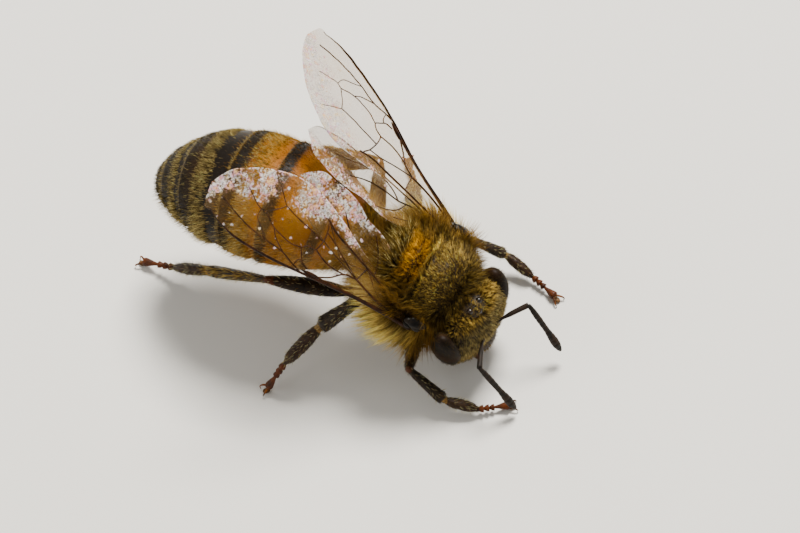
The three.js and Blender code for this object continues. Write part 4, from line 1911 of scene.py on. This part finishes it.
def scatter(mesh: Mesh, wanted: int, weight: Callable, rng: np.random.Generator) -> Rows:
    """Random places on a mesh.

    Args:
        mesh: a mesh in millimetres.
        wanted: how many places.
        weight: how thickly they lie, given points.
        rng: the source of chance.

    Returns:
        The points and the surface's unit normals there.
    """
    mesh.calc_loop_triangles()
    co = coordinates(mesh)
    tri = np.empty(len(mesh.loop_triangles) * 3, np.int32)
    mesh.loop_triangles.foreach_get("vertices", tri)
    tri = tri.reshape(-1, 3)
    normals = np.empty(len(mesh.vertices) * 3, np.float32)
    mesh.vertex_normals.foreach_get("vector", normals)
    normals = normals.reshape(-1, 3)
    a, b, c = co[tri.T]
    chance = np.linalg.norm(np.cross(b - a, c - a), axis=1) * weight((a + b + c) / 3)
    picked = tri[rng.choice(len(tri), wanted, p=chance / chance.sum())].T
    u, v = rng.random(wanted), rng.random(wanted)
    over = u + v > 1
    u, v = np.where(over, 1 - u, u), np.where(over, 1 - v, v)
    shares = np.stack((1 - u - v, u, v))[:, :, None]
    return (co[picked] * shares).sum(axis=0), unit((normals[picked] * shares).sum(axis=0))


def locks(tufts: Tufts, each: int, share: Array | float, rng: np.random.Generator) -> Tufts:
    """Draws tufts together in locks, each with a shade of its own.

    Args:
        tufts: the tufts, which are changed.
        each: about how many make a lock.
        share: how far the tips are drawn to the lock's middle, from 0 to 1.
        rng: the source of chance.

    Returns:
        The same tufts.
    """
    count = len(tufts.length)
    seeds = rng.choice(count, max(1, count // each), replace=False)
    tree = KDTree(len(seeds))
    for number, seed in enumerate(seeds):
        tree.insert(tufts.root[seed], number)
    tree.balance()
    owner = np.array([tree.find(root)[1] for root in tufts.root])
    tips = tufts.root + tufts.way * tufts.length[:, None]
    members = np.maximum(np.bincount(owner, minlength=len(seeds)), 1)[:, None]
    sums = np.stack([np.bincount(owner, tips[:, k], len(seeds)) for k in range(3)], axis=1)
    middle = (sums / members)[owner]
    share = np.broadcast_to(share, count)[:, None]
    tufts.way = unit(tips + (middle - tips) * share - tufts.root)
    tufts.tint = tufts.tint * rng.uniform(0.42, 1.45, len(seeds))[owner][:, None]
    return tufts


# How many tufts each region gets, in the order in which they are grown.
TUFTS_WANTED = {"thorax": 66000, "head": 19000, "eyes": 2600, "legs": 20000, "gaster": 62000}
# Soft-edged parts of the thorax, in the trunk's own frame.
THORAX_ZONES: ZoneTable = {
    "top": (("z", 0.7, 1.2), ("wide", 1.5, 1.0)),
    "side": (("z", 0.9, 0.3), ("wide", 0.8, 1.3), ("y", -1.2, -0.3)),
    "dome": (("z", 0.5, 1.1), ("wide", 1.75, 1.1), ("y", -1.85, -1.4), ("y", 0.45, 0.2)),
    "summit": (("z", 1.15, 1.45),),
    "shoulder": (("y", -0.5, -1.0), ("z", 0.3, 0.9)),
    "scutellum": (("y", 0.5, 0.62), ("y", 1.2, 0.95), ("z", 0.7, 1.0), ("wide", 0.95, 0.45)),
    "behind": (("y", 0.95, 1.25), ("z", 0.1, 0.5)),
    "rim": (("z", 0.7, 1.0), ("wide", 1.4, 1.1)),
    "saddle": (("y", 0.3, 0.5), ("y", 1.5, 1.2), ("z", 0.7, 1.0), ("wide", 1.5, 1.0)),
    "flank": (("z", 0.75, 0.2), ("wide", 0.9, 1.35), ("y", -0.9, -0.2)),
    "right": (("x", 0.3, -0.3),),
    "front": (("y", -0.9, -1.35),),
    "under": (("z", -0.5, -1.0),),
}
# How long the hair grows in each zone in mm; a later zone overrules an earlier one.
THORAX_REACH = (
    ("dome", 0.19), ("saddle", 0.42), ("scutellum", 0.28), ("rim", 0.30), ("behind", 0.55),
    ("flank", 1.05), ("front", 0.62), ("under", 0.4),
)
# Soft-edged parts of the head, in its own frame.
HEAD_ZONES: ZoneTable = {
    "crown": (("z", 0.8, 1.25),),
    "rear": (("y", -0.7, -0.35),),
    "cheek": (("z", -0.7, -1.2), ("y", -1.4, -1.0)),
    "face": (("y", -1.1, -1.35),),
    "frons": (("y", -1.1, -1.35), ("z", -0.5, -0.15), ("z", 1.15, 0.8)),
}
# How thickly the gaster's hair grows at lengths from the waist.
GASTER_BANDS: Stations = (
    (0.1, 1.1), (0.9, 0.9), (1.25, 0.35), (1.6, 0.25), (1.95, 0.25), (2.1, 0.30), (2.8, 0.35),
    (3.2, 0.30), (3.55, 0.30), (3.65, 0.10), (3.78, 0.35), (3.95, 0.8), (4.2, 1.0), (4.5, 0.7),
    (4.62, 0.25), (4.90, 0.25), (4.97, 0.6), (5.02, 0.02), (5.46, 0.03), (5.58, 0.7), (5.78, 1.1),
    (5.98, 0.9), (6.12, 0.3), (6.57, 0.22), (6.65, 0.6), (6.70, 0.03), (6.84, 0.05), (6.93, 0.8),
    (7.12, 0.8), (7.25, 0.3), (7.7, 0.4), (8.6, 0.4),
)
# Where the gaster's black bands start and end, for its hair.
GASTER_MARKS = ((1.62, 1.92), (3.2, 3.54), (4.54, 4.92), (6.1, 6.64), (7.2, 7.7), (7.85, 8.6))
# A leg's hair on its five pieces: how thick, how often erect, how long, how often dark.
LEG_THICK = np.array((0.9, 0.8, 1.1, 1.3, 0.05))
LEG_ERECT = np.array((0.5, 0.17, 0.17, 0.17, 0.2))
LEG_LENGTH = np.array((0.26, 0.12, 0.095, 0.095, 0.06))
LEG_DARK = np.array((0.35, 0.93, 0.95, 0.93, 0.5))


@dataclass
class Coat:
    """The fine tufts over skin and plates, made as joined solid meshes."""

    skin: Mesh
    legs: list[Leg]
    chart: SkinMap
    gaster: Gaster
    head_parts: HeadParts
    seed: int = 7
    bent_tufts: int = 18000
    straight_tufts: int = 45000
    bend_from: float = 0.24
    patch: float = 0.003

    def build(self) -> None:
        """Grows the coat, one region at a time, from a seeded source of chance."""
        self.rng = np.random.default_rng(self.seed)
        material = HairFinish().material()
        growers = (self.thorax, self.head, self.on_eyes, self.on_legs, self.on_gaster)
        for (name, wanted), grower in zip(TUFTS_WANTED.items(), growers):
            self._grow(name, grower(wanted), material)

    # ---- hair on the skin

    def _stray(
        self, points: Array, pitch: float, field_seed: int, share: float, spread: float
    ) -> Array:
        """How tufts stray from their lean.

        Args:
            points: their roots.
            pitch: the distance over which neighbours lean together.
            field_seed: picks the field of that lean.
            share: its size.
            spread: how far single tufts stray.

        Returns:
            One vector a tuft.
        """
        together = drift(points, pitch, field_seed) * share
        return together + self.rng.normal(scale=spread, size=points.shape)

    def thorax(self, wanted: int) -> Tufts:
        """Short wool under long hair: dark on the dome, golden on the sides.

        Args:
            wanted: how many tufts.

        Returns:
            The tufts.
        """

        def weight(points: Array) -> Array:
            """Thicker where the hair is short, open where it hangs in locks."""
            on = zones(THORAX_ZONES, into(TRUNK, points))
            inside = self.chart.read(points)["region"] == Region.THORAX.value
            return inside * (1 + 0.1 * on["top"] - 0.42 * on["side"])

        points, normals = scatter(self.skin, wanted, weight, self.rng)
        local = into(TRUNK, points)
        x, y, z = local.T
        n = len(points)
        long = self.rng.random(n) < 0.40
        on = zones(THORAX_ZONES, local)
        margin = y - 0.38 + 0.5 * x * x / (1 + x * x)
        on["rim"] = on["rim"] * np.exp(-((margin / 0.055) ** 2))
        joint = np.stack((np.abs(x) - 2.0, y + 0.26, z - 0.92), axis=1)
        hinge = step(0.62, 0.30, np.linalg.norm(joint, axis=1))
        dome, flank, behind = on["dome"], on["flank"], on["behind"]

        reach = np.full(n, 1.02)
        for name, size in THORAX_REACH:
            reach += (size - reach) * on[name]
        length = self.rng.uniform(0.6, 1.0, n) + 0.5 * self.rng.random(n) ** 3
        length *= reach * np.where(long, 1.0, 0.52) * (1 - 0.72 * hinge)

        lean = np.zeros((n, 3))
        lean[:, 1] = 0.18 - 0.45 * on["front"] + 0.3 * flank + 0.45 * dome
        lean[:, 2] = -(0.42 * on["right"] + 0.12) * flank
        lean += self._stray(points, 0.5, 3, 0.16, 0.09)

        tint = layered(
            np.array(GOLD_HAIR) * 0.33,
            (OLIVE_HAIR, ~long * 0.8),
            (DOME_HAIR, dome * 0.8),
            (DARK_HAIR, dome * (self.rng.random(n) < 0.38)),
            (GLINT_HAIR, dome * (self.rng.random(n) < 0.20)),
            (OLIVE_HAIR, np.maximum(on["saddle"] * 0.45, behind * 0.85)),
            (STRAW_HAIR, behind * (self.rng.random(n) < 0.10)),
            (ORANGE_HAIR, on["scutellum"] * 0.8),
            (PALE_HAIR, on["rim"] * 0.95),
            (FLANK_HAIR, flank * np.where(long, 0.95, 0.3)),
        )
        # Painted light: the shoulders are painted darker and the top of the dome lighter.
        tint *= ((1 - 0.5 * on["shoulder"]) * (1 + 0.3 * dome * on["summit"]))[:, None]
        tint = layered(tint, (GREY_HAIR, on["under"] * 0.5), (DARK_HAIR, hinge * 0.8))
        tint *= self.rng.uniform(0.7, 1.2, (n, 1))
        way = unit(normals + directions(TRUNK, lean))
        half = self.rng.uniform(0.007, 0.0115, n) * (1 + 0.3 * flank) * np.where(long, 0.9, 1.0)
        spot = laid(around(x, z), (y + 2.4) / 4.8, (0.01, 0.51))
        tufts = Tufts(points, normals, way, length, half, tint, spot, 0.22 + 0.35 * flank)
        return locks(tufts, 20, 0.36 + 0.48 * flank - 0.15 * on["scutellum"], self.rng)

    def head(self, wanted: int) -> Tufts:
        """Long hair on the crown and cheeks, hardly any on the shield.

        Args:
            wanted: how many tufts.

        Returns:
            The tufts.
        """

        def weight(points: Array) -> Array:
            """Thin on the shield over the mouth."""
            x, y, z = into(HEAD, points).T
            inside = self.chart.read(points)["region"] == Region.HEAD.value
            return inside * (1 - 0.75 * face_shield(x, z) * step(-1.2, -1.35, y))

        points, normals = scatter(self.skin, wanted, weight, self.rng)
        local = into(HEAD, points)
        x, y, z = local.T
        n = len(points)
        crown, rear, cheek, face, frons = zones(HEAD_ZONES, local).values()
        simple = np.minimum(np.hypot(x, z - 1.32), np.hypot(np.abs(x) - 0.27, z - 1.44))
        length = (0.17 + 0.18 * crown + 0.10 * rear + 0.10 * cheek) * self.rng.uniform(0.7, 1.2, n)
        length *= (1 - 0.45 * face_shield(x, z) * face) * (1 - 0.15 * frons)
        length *= step(0.06, 0.34, simple)
        sideways = np.sign(x) * 0.15 * face
        lean = np.stack((sideways, 0.3 * rear - 0.25 * crown, 0.7 * crown - 0.45), axis=1)
        lean += self._stray(points, 0.3, 5, 0.15, 0.10)
        dark = self.rng.random(n) < 0.45 - 0.22 * frons
        tint = layered(
            np.array(GREY_HAIR) * 0.75,
            (PALE_HAIR, np.maximum(crown, cheek) * 0.6),
            (STRAW_HAIR, frons * 0.75),
            (DARK_HAIR, dark * (1 - crown * 0.6)),
        )
        tint *= self.rng.uniform(0.7, 1.2, (n, 1))
        way = unit(normals + directions(HEAD, lean))
        half = self.rng.uniform(0.007, 0.011, n)
        spot = laid(around(x, -y), (z + 1.8) / 3.6, (0.51, 0.51))
        tufts = Tufts(points, normals, way, length, half, tint, spot, np.full(n, 0.2))
        return locks(tufts, 8, 0.45, self.rng)

    def on_eyes(self, wanted: int) -> Tufts:
        """Very short, thin hairs that stand on the eyes.

        Args:
            wanted: how many are tried; those inside the head are left out.

        Returns:
            The tufts.
        """
        sign = np.where(np.arange(wanted) % 2, 1.0, -1.0)
        facing = unit(self.rng.normal(size=(wanted, 3)))
        points, normals = self.head_parts.on_eye(facing, sign)
        local = into(HEAD, points) - HEAD_CENTRE
        bare = np.linalg.norm(local / (1.62, 0.74, 1.44), axis=1) > 1.0
        points, normals, sign = points[bare], normals[bare], sign[bare]
        x, y, z = facing[bare].T
        n = len(points)
        length = self.rng.uniform(0.05, 0.10, n)
        way = unit(normals + self.rng.normal(scale=0.12, size=(n, 3)))
        tint = np.array(GREY_HAIR) * 0.3 * self.rng.uniform(0.7, 1.2, (n, 1))
        share = (around(x, z) + (sign > 0)) * 0.5
        spot = laid(share, y * 0.5 + 0.5, (0.77, 0.93), (0.2, 0.06))
        half = self.rng.uniform(0.004, 0.006, n)
        return Tufts(points, normals, way, length, half, tint, spot, np.full(n, 0.1))

    def on_legs(self, wanted: int) -> Tufts:
        """Fine bristles that point to the feet, with a long fringe on the baskets.

        Args:
            wanted: how many tufts.

        Returns:
            The tufts.
        """

        def weight(points: Array) -> Array:
            """Thicker on the tibia and the brush, none on the foot's core."""
            where = self.chart.read(points)
            return (where["region"] == Region.LEG.value) * LEG_THICK[where["piece"]]

        points, normals = scatter(self.skin, wanted, weight, self.rng)
        where = self.chart.read(points)
        leg, piece, n = where["leg"], where["piece"], len(points)
        ways = np.array([[leg.way(i) for i in range(len(SEGMENTS))] for leg in self.legs])
        edge, outer = self._edges(points, where)
        erect = self.rng.random(n) < LEG_ERECT[piece]
        length = LEG_LENGTH[piece] * self.rng.uniform(0.7, 1.3, n) * np.where(erect, 1.7, 1.0)
        fringe = edge * (self.rng.random(n) < 0.8)
        length += fringe * self.rng.uniform(0.12, 0.30, n)
        length *= np.where(outer > 0.5, 0.5, 1.0)
        stand = np.where(erect, 1.35, 0.28) * (1 - 0.5 * fringe)
        lean = ways[leg, piece] * 0.9 + normals * stand[:, None] - np.outer(piece <= 1, UP) * 0.3
        lean += self._stray(points, 0.3, 8, 0.10, 0.10)
        basket = (piece == 2) & (leg % len(LEGS) == 2)
        dark = self.rng.random(n) < np.where(basket, 0.6, LEG_DARK[piece])
        tint = layered(
            np.array(GOLD_HAIR) * 0.75,
            (DARK_HAIR, dark * 0.97 * (1 - fringe)),
            (BRISTLE_HAIR, (piece >= 1) * erect * 0.95),
            (PALE_HAIR, np.maximum((piece <= 0) * 0.5, fringe * 0.9)),
        )
        tint *= self.rng.uniform(0.65, 1.2, (n, 1))
        strip = (leg + 0.1 + 0.8 * around(normals[:, 0], normals[:, 2])) / len(self.legs)
        spot = laid(strip, (piece + where["share"]) / len(SEGMENTS), (0.51, 0.01), (0.48, 0.40))
        half = self.rng.uniform(0.005, 0.009, n) * np.where(erect, 1.15, 1.0)
        return Tufts(points, normals, unit(lean), length, half, tint, spot, np.full(n, 0.15))

    def _edges(self, points: Array, where: dict[str, Array]) -> Rows:
        """Finds the rims and the bare outer faces of the hind tibiae.

        Args:
            points: places on the legs.
            where: their reading on the chart.

        Returns:
            Shares from 0 to 1 of being on a rim and on the bare face.
        """
        edge, outer = np.zeros((2, len(points)))
        for number, leg in enumerate(self.legs):
            if leg.row != "hind":
                continue
            chosen = (where["leg"] == number) & (where["piece"] == 2)
            x, _, z = into(leg.frame(2), points[chosen]).T
            share = where["share"][chosen]
            side = np.abs(x) / np.maximum(leg.radii()[2] * curve(PROFILES["tibia"], share), 0.05)
            edge[chosen] = step(0.74, 0.92, side)
            outer[chosen] = step(0.75, 0.6, side) * (z > 0) * (share > 0.35)
        return edge, outer

    # ---- hair on the plates

    def on_gaster(self, wanted: int) -> Tufts:
        """Bands of flat hair that follow the plates and point to the tip.

        Args:
            wanted: how many are tried; half of those underneath are left out.

        Returns:
            The tufts.
        """
        at, thick = np.array(GASTER_BANDS).T
        grid = np.linspace(0.12, 8.5, 2400)
        chance = np.interp(grid, at, thick) * ARC.half(grid)
        s = self.rng.choice(grid, wanted, p=chance / chance.sum())
        s = s + self.rng.uniform(-0.002, 0.002, wanted)
        theta = self.rng.uniform(-math.pi, math.pi, wanted)
        s += 0.035 * np.sin(theta * 7 + 1) + self.rng.normal(scale=0.025, size=wanted)
        s = np.clip(s, 0.1, ARC.length - 0.1)
        keep = (np.abs(theta) < 2.0) | (self.rng.random(wanted) < 0.5)
        s, theta = s[keep], theta[keep]
        n = len(s)
        index = np.minimum(np.searchsorted(ARC.ends, s), len(ARC.ends) - 1)
        below = np.abs(theta) > math.radians(self.gaster.top_reach)
        inset = np.empty(n)
        for i in range(len(ARC.ends)):
            for under in (False, True):
                chosen = (index == i) & (below == under)
                inset[chosen] = self.gaster.inset(i, s[chosen], under)
        points, normals = ARC.surface(s, theta, inset + 0.008)
        _, across, way, _ = ARC.frames(s)
        first, rear = step(1.3, 0.3, s), step(5.2, 5.6, s)
        flank = step(0.9, 1.4, np.abs(theta))
        erect = (self.rng.random(n) < 0.14) * flank
        tilt = 0.28 + 0.55 * first + 0.10 * step(4.9, 5.4, s) + 0.20 * flank + 0.6 * erect
        lean = way + normals * tilt[:, None] + across * (np.sin(theta) * 0.12)[:, None]
        lean += self._stray(points, 0.4, 9, 0.10, 0.09)
        fringe = step(0.12, 0.03, np.array(ARC.ends)[index] - s)
        band = np.clip(np.interp(s, at, thick) - 0.5, 0, 1)
        length = (0.14 + 0.30 * first + 0.04 * band + 0.05 * flank) * self.rng.uniform(0.7, 1.25, n)
        length = length * (1 - 0.25 * fringe) + 0.20 * erect
        tint = layered(
            np.array(GOLD_HAIR) * 0.8,
            (AMBER_HAIR, step(4.0, 3.5, s) * step(1.1, 1.6, s) * 0.75),
            (OLIVE_HAIR, first * (self.rng.random(n) < 0.7)),
            (STRAW_HAIR, rear * 0.85),
            (STRAW_HAIR, step(3.7, 4.2, s) * (self.rng.random(n) < 0.3)),
            (OLIVE_HAIR, rear * (self.rng.random(n) < 0.42)),
        )
        for low, high in GASTER_MARKS:
            mark = step(low - 0.06, low + 0.06, s) * step(high + 0.05, high - 0.02, s)
            dark = mark * (self.rng.random(n) < 0.85) * (1 - fringe)
            tint = layered(tint, (MARK_HAIR, dark * 0.95))
        tint = layered(tint, (STRAW_HAIR, np.maximum(fringe, erect) * 0.6))
        tint *= self.rng.uniform(0.65, 1.3, (n, 1))
        spot = laid(theta / TAU + 0.5, s / ARC.length, (0.01, 0.01))
        half = self.rng.uniform(0.0065, 0.010, n) * (1 - 0.25 * erect)
        tufts = Tufts(points, normals, unit(lean), length, half, tint, spot, np.full(n, 0.18))
        return locks(tufts, 6, 0.35, self.rng)

    # ---- solids

    def _grow(self, name: str, tufts: Tufts, material: Material) -> None:
        """Builds a region's tufts in pieces of a fair size.

        Args:
            name: the region's name.
            tufts: its tufts.
            material: their finish.
        """
        long = tufts.length > self.bend_from
        order = np.argsort(tufts.spot[:, 1], kind="stable")
        parts = []
        for bent, each in ((True, self.bent_tufts), (False, self.straight_tufts)):
            chosen = order[long[order] == bent]
            if len(chosen):
                pieces = math.ceil(len(chosen) / each)
                parts += [(part, bent) for part in np.array_split(chosen, pieces)]
        for number, (part, bent) in enumerate(parts, 1):
            mesh = self._solid(tufts.part(part), bent)
            finished(mesh, f"coat_{name}_{number}", material, Slot.FUR)

    def _solid(self, tufts: Tufts, bent: bool) -> Mesh:
        """Joined three-sided tufts.

        Args:
            tufts: what to build.
            bent: whether each tuft has a bend half way along.

        Returns:
            The mesh, in millimetres, with its colours, painted in shade at the root and in light at
            the tip, and its OFBake map.
        """
        n = len(tufts.length)
        axis, normal = tufts.way, tufts.normal
        across = unit(np.cross(axis, normal + (1e-3, 2e-3, 3e-3)))
        other = np.cross(axis, across)
        length, half = tufts.length[:, None], tufts.half[:, None]
        lie = axis - normal * (axis * normal).sum(axis=1, keepdims=True)
        turn = unit(axis + unit(lie + 1e-6) * tufts.droop[:, None]) if bent else axis
        middle = tufts.root + axis * length * 0.5
        corners = [(math.cos(a), math.sin(a)) for a in (0.0, TAU / 3, 2 * TAU / 3)]
        offsets = [(across * x + other * y) * half for x, y in corners]
        # Each ring's middle, its size, its painted light (painted shade, darkest at the root) and
        # its size on the map.
        rings = [(tufts.root - axis * 0.02, 1.0, 0.10, 1.0)]
        faces: tuple[tuple[int, ...], ...] = ((0, 1, 3), (1, 2, 3), (2, 0, 3), (2, 1, 0))
        if bent:
            rings.append((middle, 0.72, 0.72, 0.5))
            faces = ((0, 1, 4, 3), (1, 2, 5, 4), (2, 0, 3, 5), (3, 4, 6), (4, 5, 6), (5, 3, 6))
            faces += ((2, 1, 0),)
        verts = [spot + offset * size for spot, size, _, _ in rings for offset in offsets]
        verts = np.stack([*verts, middle + turn * length * 0.5], axis=1)
        # Painted light on each tuft: painted shade at the root, deep in the coat, and painted light
        # at the tip.
        painted_root_shade_tip_light = [bright for *_, bright, _ in rings for _ in corners] + [1.4 if bent else 1.35]
        disc = [(x * size, y * size) for *_, size in rings for x, y in corners] + [(0, 0)]
        each = verts.shape[1]
        loops = np.array([i for face in faces for i in face])
        sizes = np.tile([len(face) for face in faces], n)
        index = (np.arange(n)[:, None] * each + loops).ravel()
        mesh = bpy.data.meshes.new("tufts")
        mesh.vertices.add(n * each)
        mesh.loops.add(len(index))
        mesh.polygons.add(len(sizes))
        mesh.vertices.foreach_set("co", verts.astype(np.float32).ravel())
        mesh.loops.foreach_set("vertex_index", index.astype(np.int32))
        mesh.polygons.foreach_set("loop_start", (np.cumsum(sizes) - sizes).astype(np.int32))
        mesh.update(calc_edges=True)
        mesh.shade_smooth()
        tint = tufts.tint[:, None, :] * np.array(painted_root_shade_tip_light)[None, :, None]
        paint(mesh, np.clip(tint, 0, 1).reshape(-1, 3))
        spots = tufts.spot[:, None, :] + np.array(disc)[None] * self.patch / 2
        unwrap(mesh, "OFBake", *spots.reshape(-1, 2).T)
        return mesh


# ---- studio


@dataclass
class Studio:
    """The plain floor, the soft lights and the camera."""

    azimuth: float = -63.6
    elevation: float = 56.0
    roll: float = 7.07
    distance: float = 200.0
    lens: float = 252.0
    aim_right: float = -0.679
    aim_up: float = 0.411
    floor_shades: tuple[Colour, Colour] = ((0.80, 0.785, 0.745), (0.77, 0.755, 0.715))
    sunlight: Colour = (1.0, 0.96, 0.89)
    sky: Colour = (1.0, 0.985, 0.95)
    sky_strength: float = 0.42

    def axes(self) -> tuple[Vector, Vector, Vector]:
        """The camera's right, up and back in the model's frame.

        Returns:
            The three unit directions.
        """
        a, e, r = (math.radians(v) for v in (self.azimuth, self.elevation, self.roll))
        back = Vector((math.sin(a) * math.cos(e), -math.cos(a) * math.cos(e), math.sin(e)))
        level = Vector((math.cos(a), math.sin(a), 0))
        upright = back.cross(level)
        right = level * math.cos(r) - upright * math.sin(r)
        up = upright * math.cos(r) + level * math.sin(r)
        return right, up, back

    def camera(self) -> None:
        """Adds the camera."""
        right, up, back = self.axes()
        aim = TRUNK.translation + right * self.aim_right + up * self.aim_up
        data = bpy.data.cameras.new("camera")
        data.lens = self.lens
        data.clip_start, data.clip_end = 0.01, 10.0
        camera = added("camera", data)
        camera.matrix_world = framed(right, up, back, (aim + back * self.distance) * MM)
        bpy.context.scene.camera = camera

    def floor(self) -> None:
        """Adds the pale floor."""
        shaper = Shaper()
        bmesh.ops.create_grid(shaper.bm, x_segments=8, y_segments=8, size=600.0)
        g = Graph("pale floor")
        cloud = g.noise(g.millimetres(), 0.05, 2.0)
        mesh = shaper.mesh()
        mesh.transform(Matrix.Scale(MM, 4))
        mesh.materials.append(
            g.surface(Base_Color=g.mix(cloud, *self.floor_shades), Roughness=0.85)
        )
        added("floor", mesh)

    def lights(self) -> None:
        """Adds a large key light, a fill and an even sky."""
        right, up, _ = self.axes()
        above = Vector(UP)
        plans = (
            ("key", right * 0.20 + up * 0.75 + above * 0.8, 260.0, 85.0, 1.7),
            ("fill", right * -0.9 + above * 0.6 - up * 0.3, 300.0, 220.0, 0.35),
        )
        for name, way, distance, size, power in plans:
            data = bpy.data.lights.new(name, "AREA")
            data.energy, data.size, data.color = power, size * MM, self.sunlight
            light = added(name, data)
            way = way.normalized()
            light.location = (TRUNK.translation + way * distance) * MM
            light.rotation_mode = "QUATERNION"
            light.rotation_quaternion = way.to_track_quat("Z", "Y")
        world = bpy.data.worlds.new("sky")
        world.use_nodes = True
        sky = world.node_tree.nodes["Background"]
        sky.inputs[0].default_value = (*self.sky, 1)
        sky.inputs[1].default_value = self.sky_strength
        bpy.context.scene.world = world


# ---- main


def build_feet(legs: list[Leg]) -> None:
    """Builds every foot's claws, pad and beads.

    Args:
        legs: the six legs.
    """
    finishes = (
        HornFinish("claw", (0.20, 0.06, 0.008), (0.05, 0.016, 0.004), 0.3),
        HornFinish("foot pad", (0.14, 0.07, 0.025), (0.07, 0.035, 0.012), 0.55),
        HornFinish("foot bead", (0.085, 0.020, 0.003), (0.03, 0.008, 0.002), 0.42),
    )
    materials = [finish.material() for finish in finishes]
    for leg in legs:
        builders = {"claws": leg.build_claws, "pad": leg.build_sole, "beads": leg.build_beads}
        for (word, builder), material in zip(builders.items(), materials):
            shaper = Shaper()
            builder(shaper)
            if word == "claws" and leg.row == "middle":
                leg.build_spur(shaper)
            finished(shaper.mesh(), f"{leg.name}_{word}", material, Slot.BROWN)


def main() -> None:
    """Builds the studio and the bee."""
    logging.basicConfig(level=logging.INFO, format="%(name)s %(message)s")
    studio = Studio()
    studio.camera()
    studio.floor()
    studio.lights()

    legs = [Leg(side, row) for side in SIDES for row in LEGS]
    chart = SkinMap(legs)
    mesh = Skin(legs).build()
    points = coordinates(mesh)
    where = chart.read(points)
    paint(mesh, chart.tint(points, where))
    gaster, head_parts = Gaster(), HeadParts()
    Coat(mesh, legs, chart, gaster, head_parts).build()
    flesh = ["head", "thorax_collar", "thorax_middle", "thorax_rear"]
    flesh += [node for leg in legs for node in leg.nodes()]
    finished(mesh, "skin", SkinFinish().material(), Slot.FUR, flesh)
    gaster.build()
    head_parts.build()
    Wings().build()
    build_feet(legs)


if __name__ == "__main__":
    main()
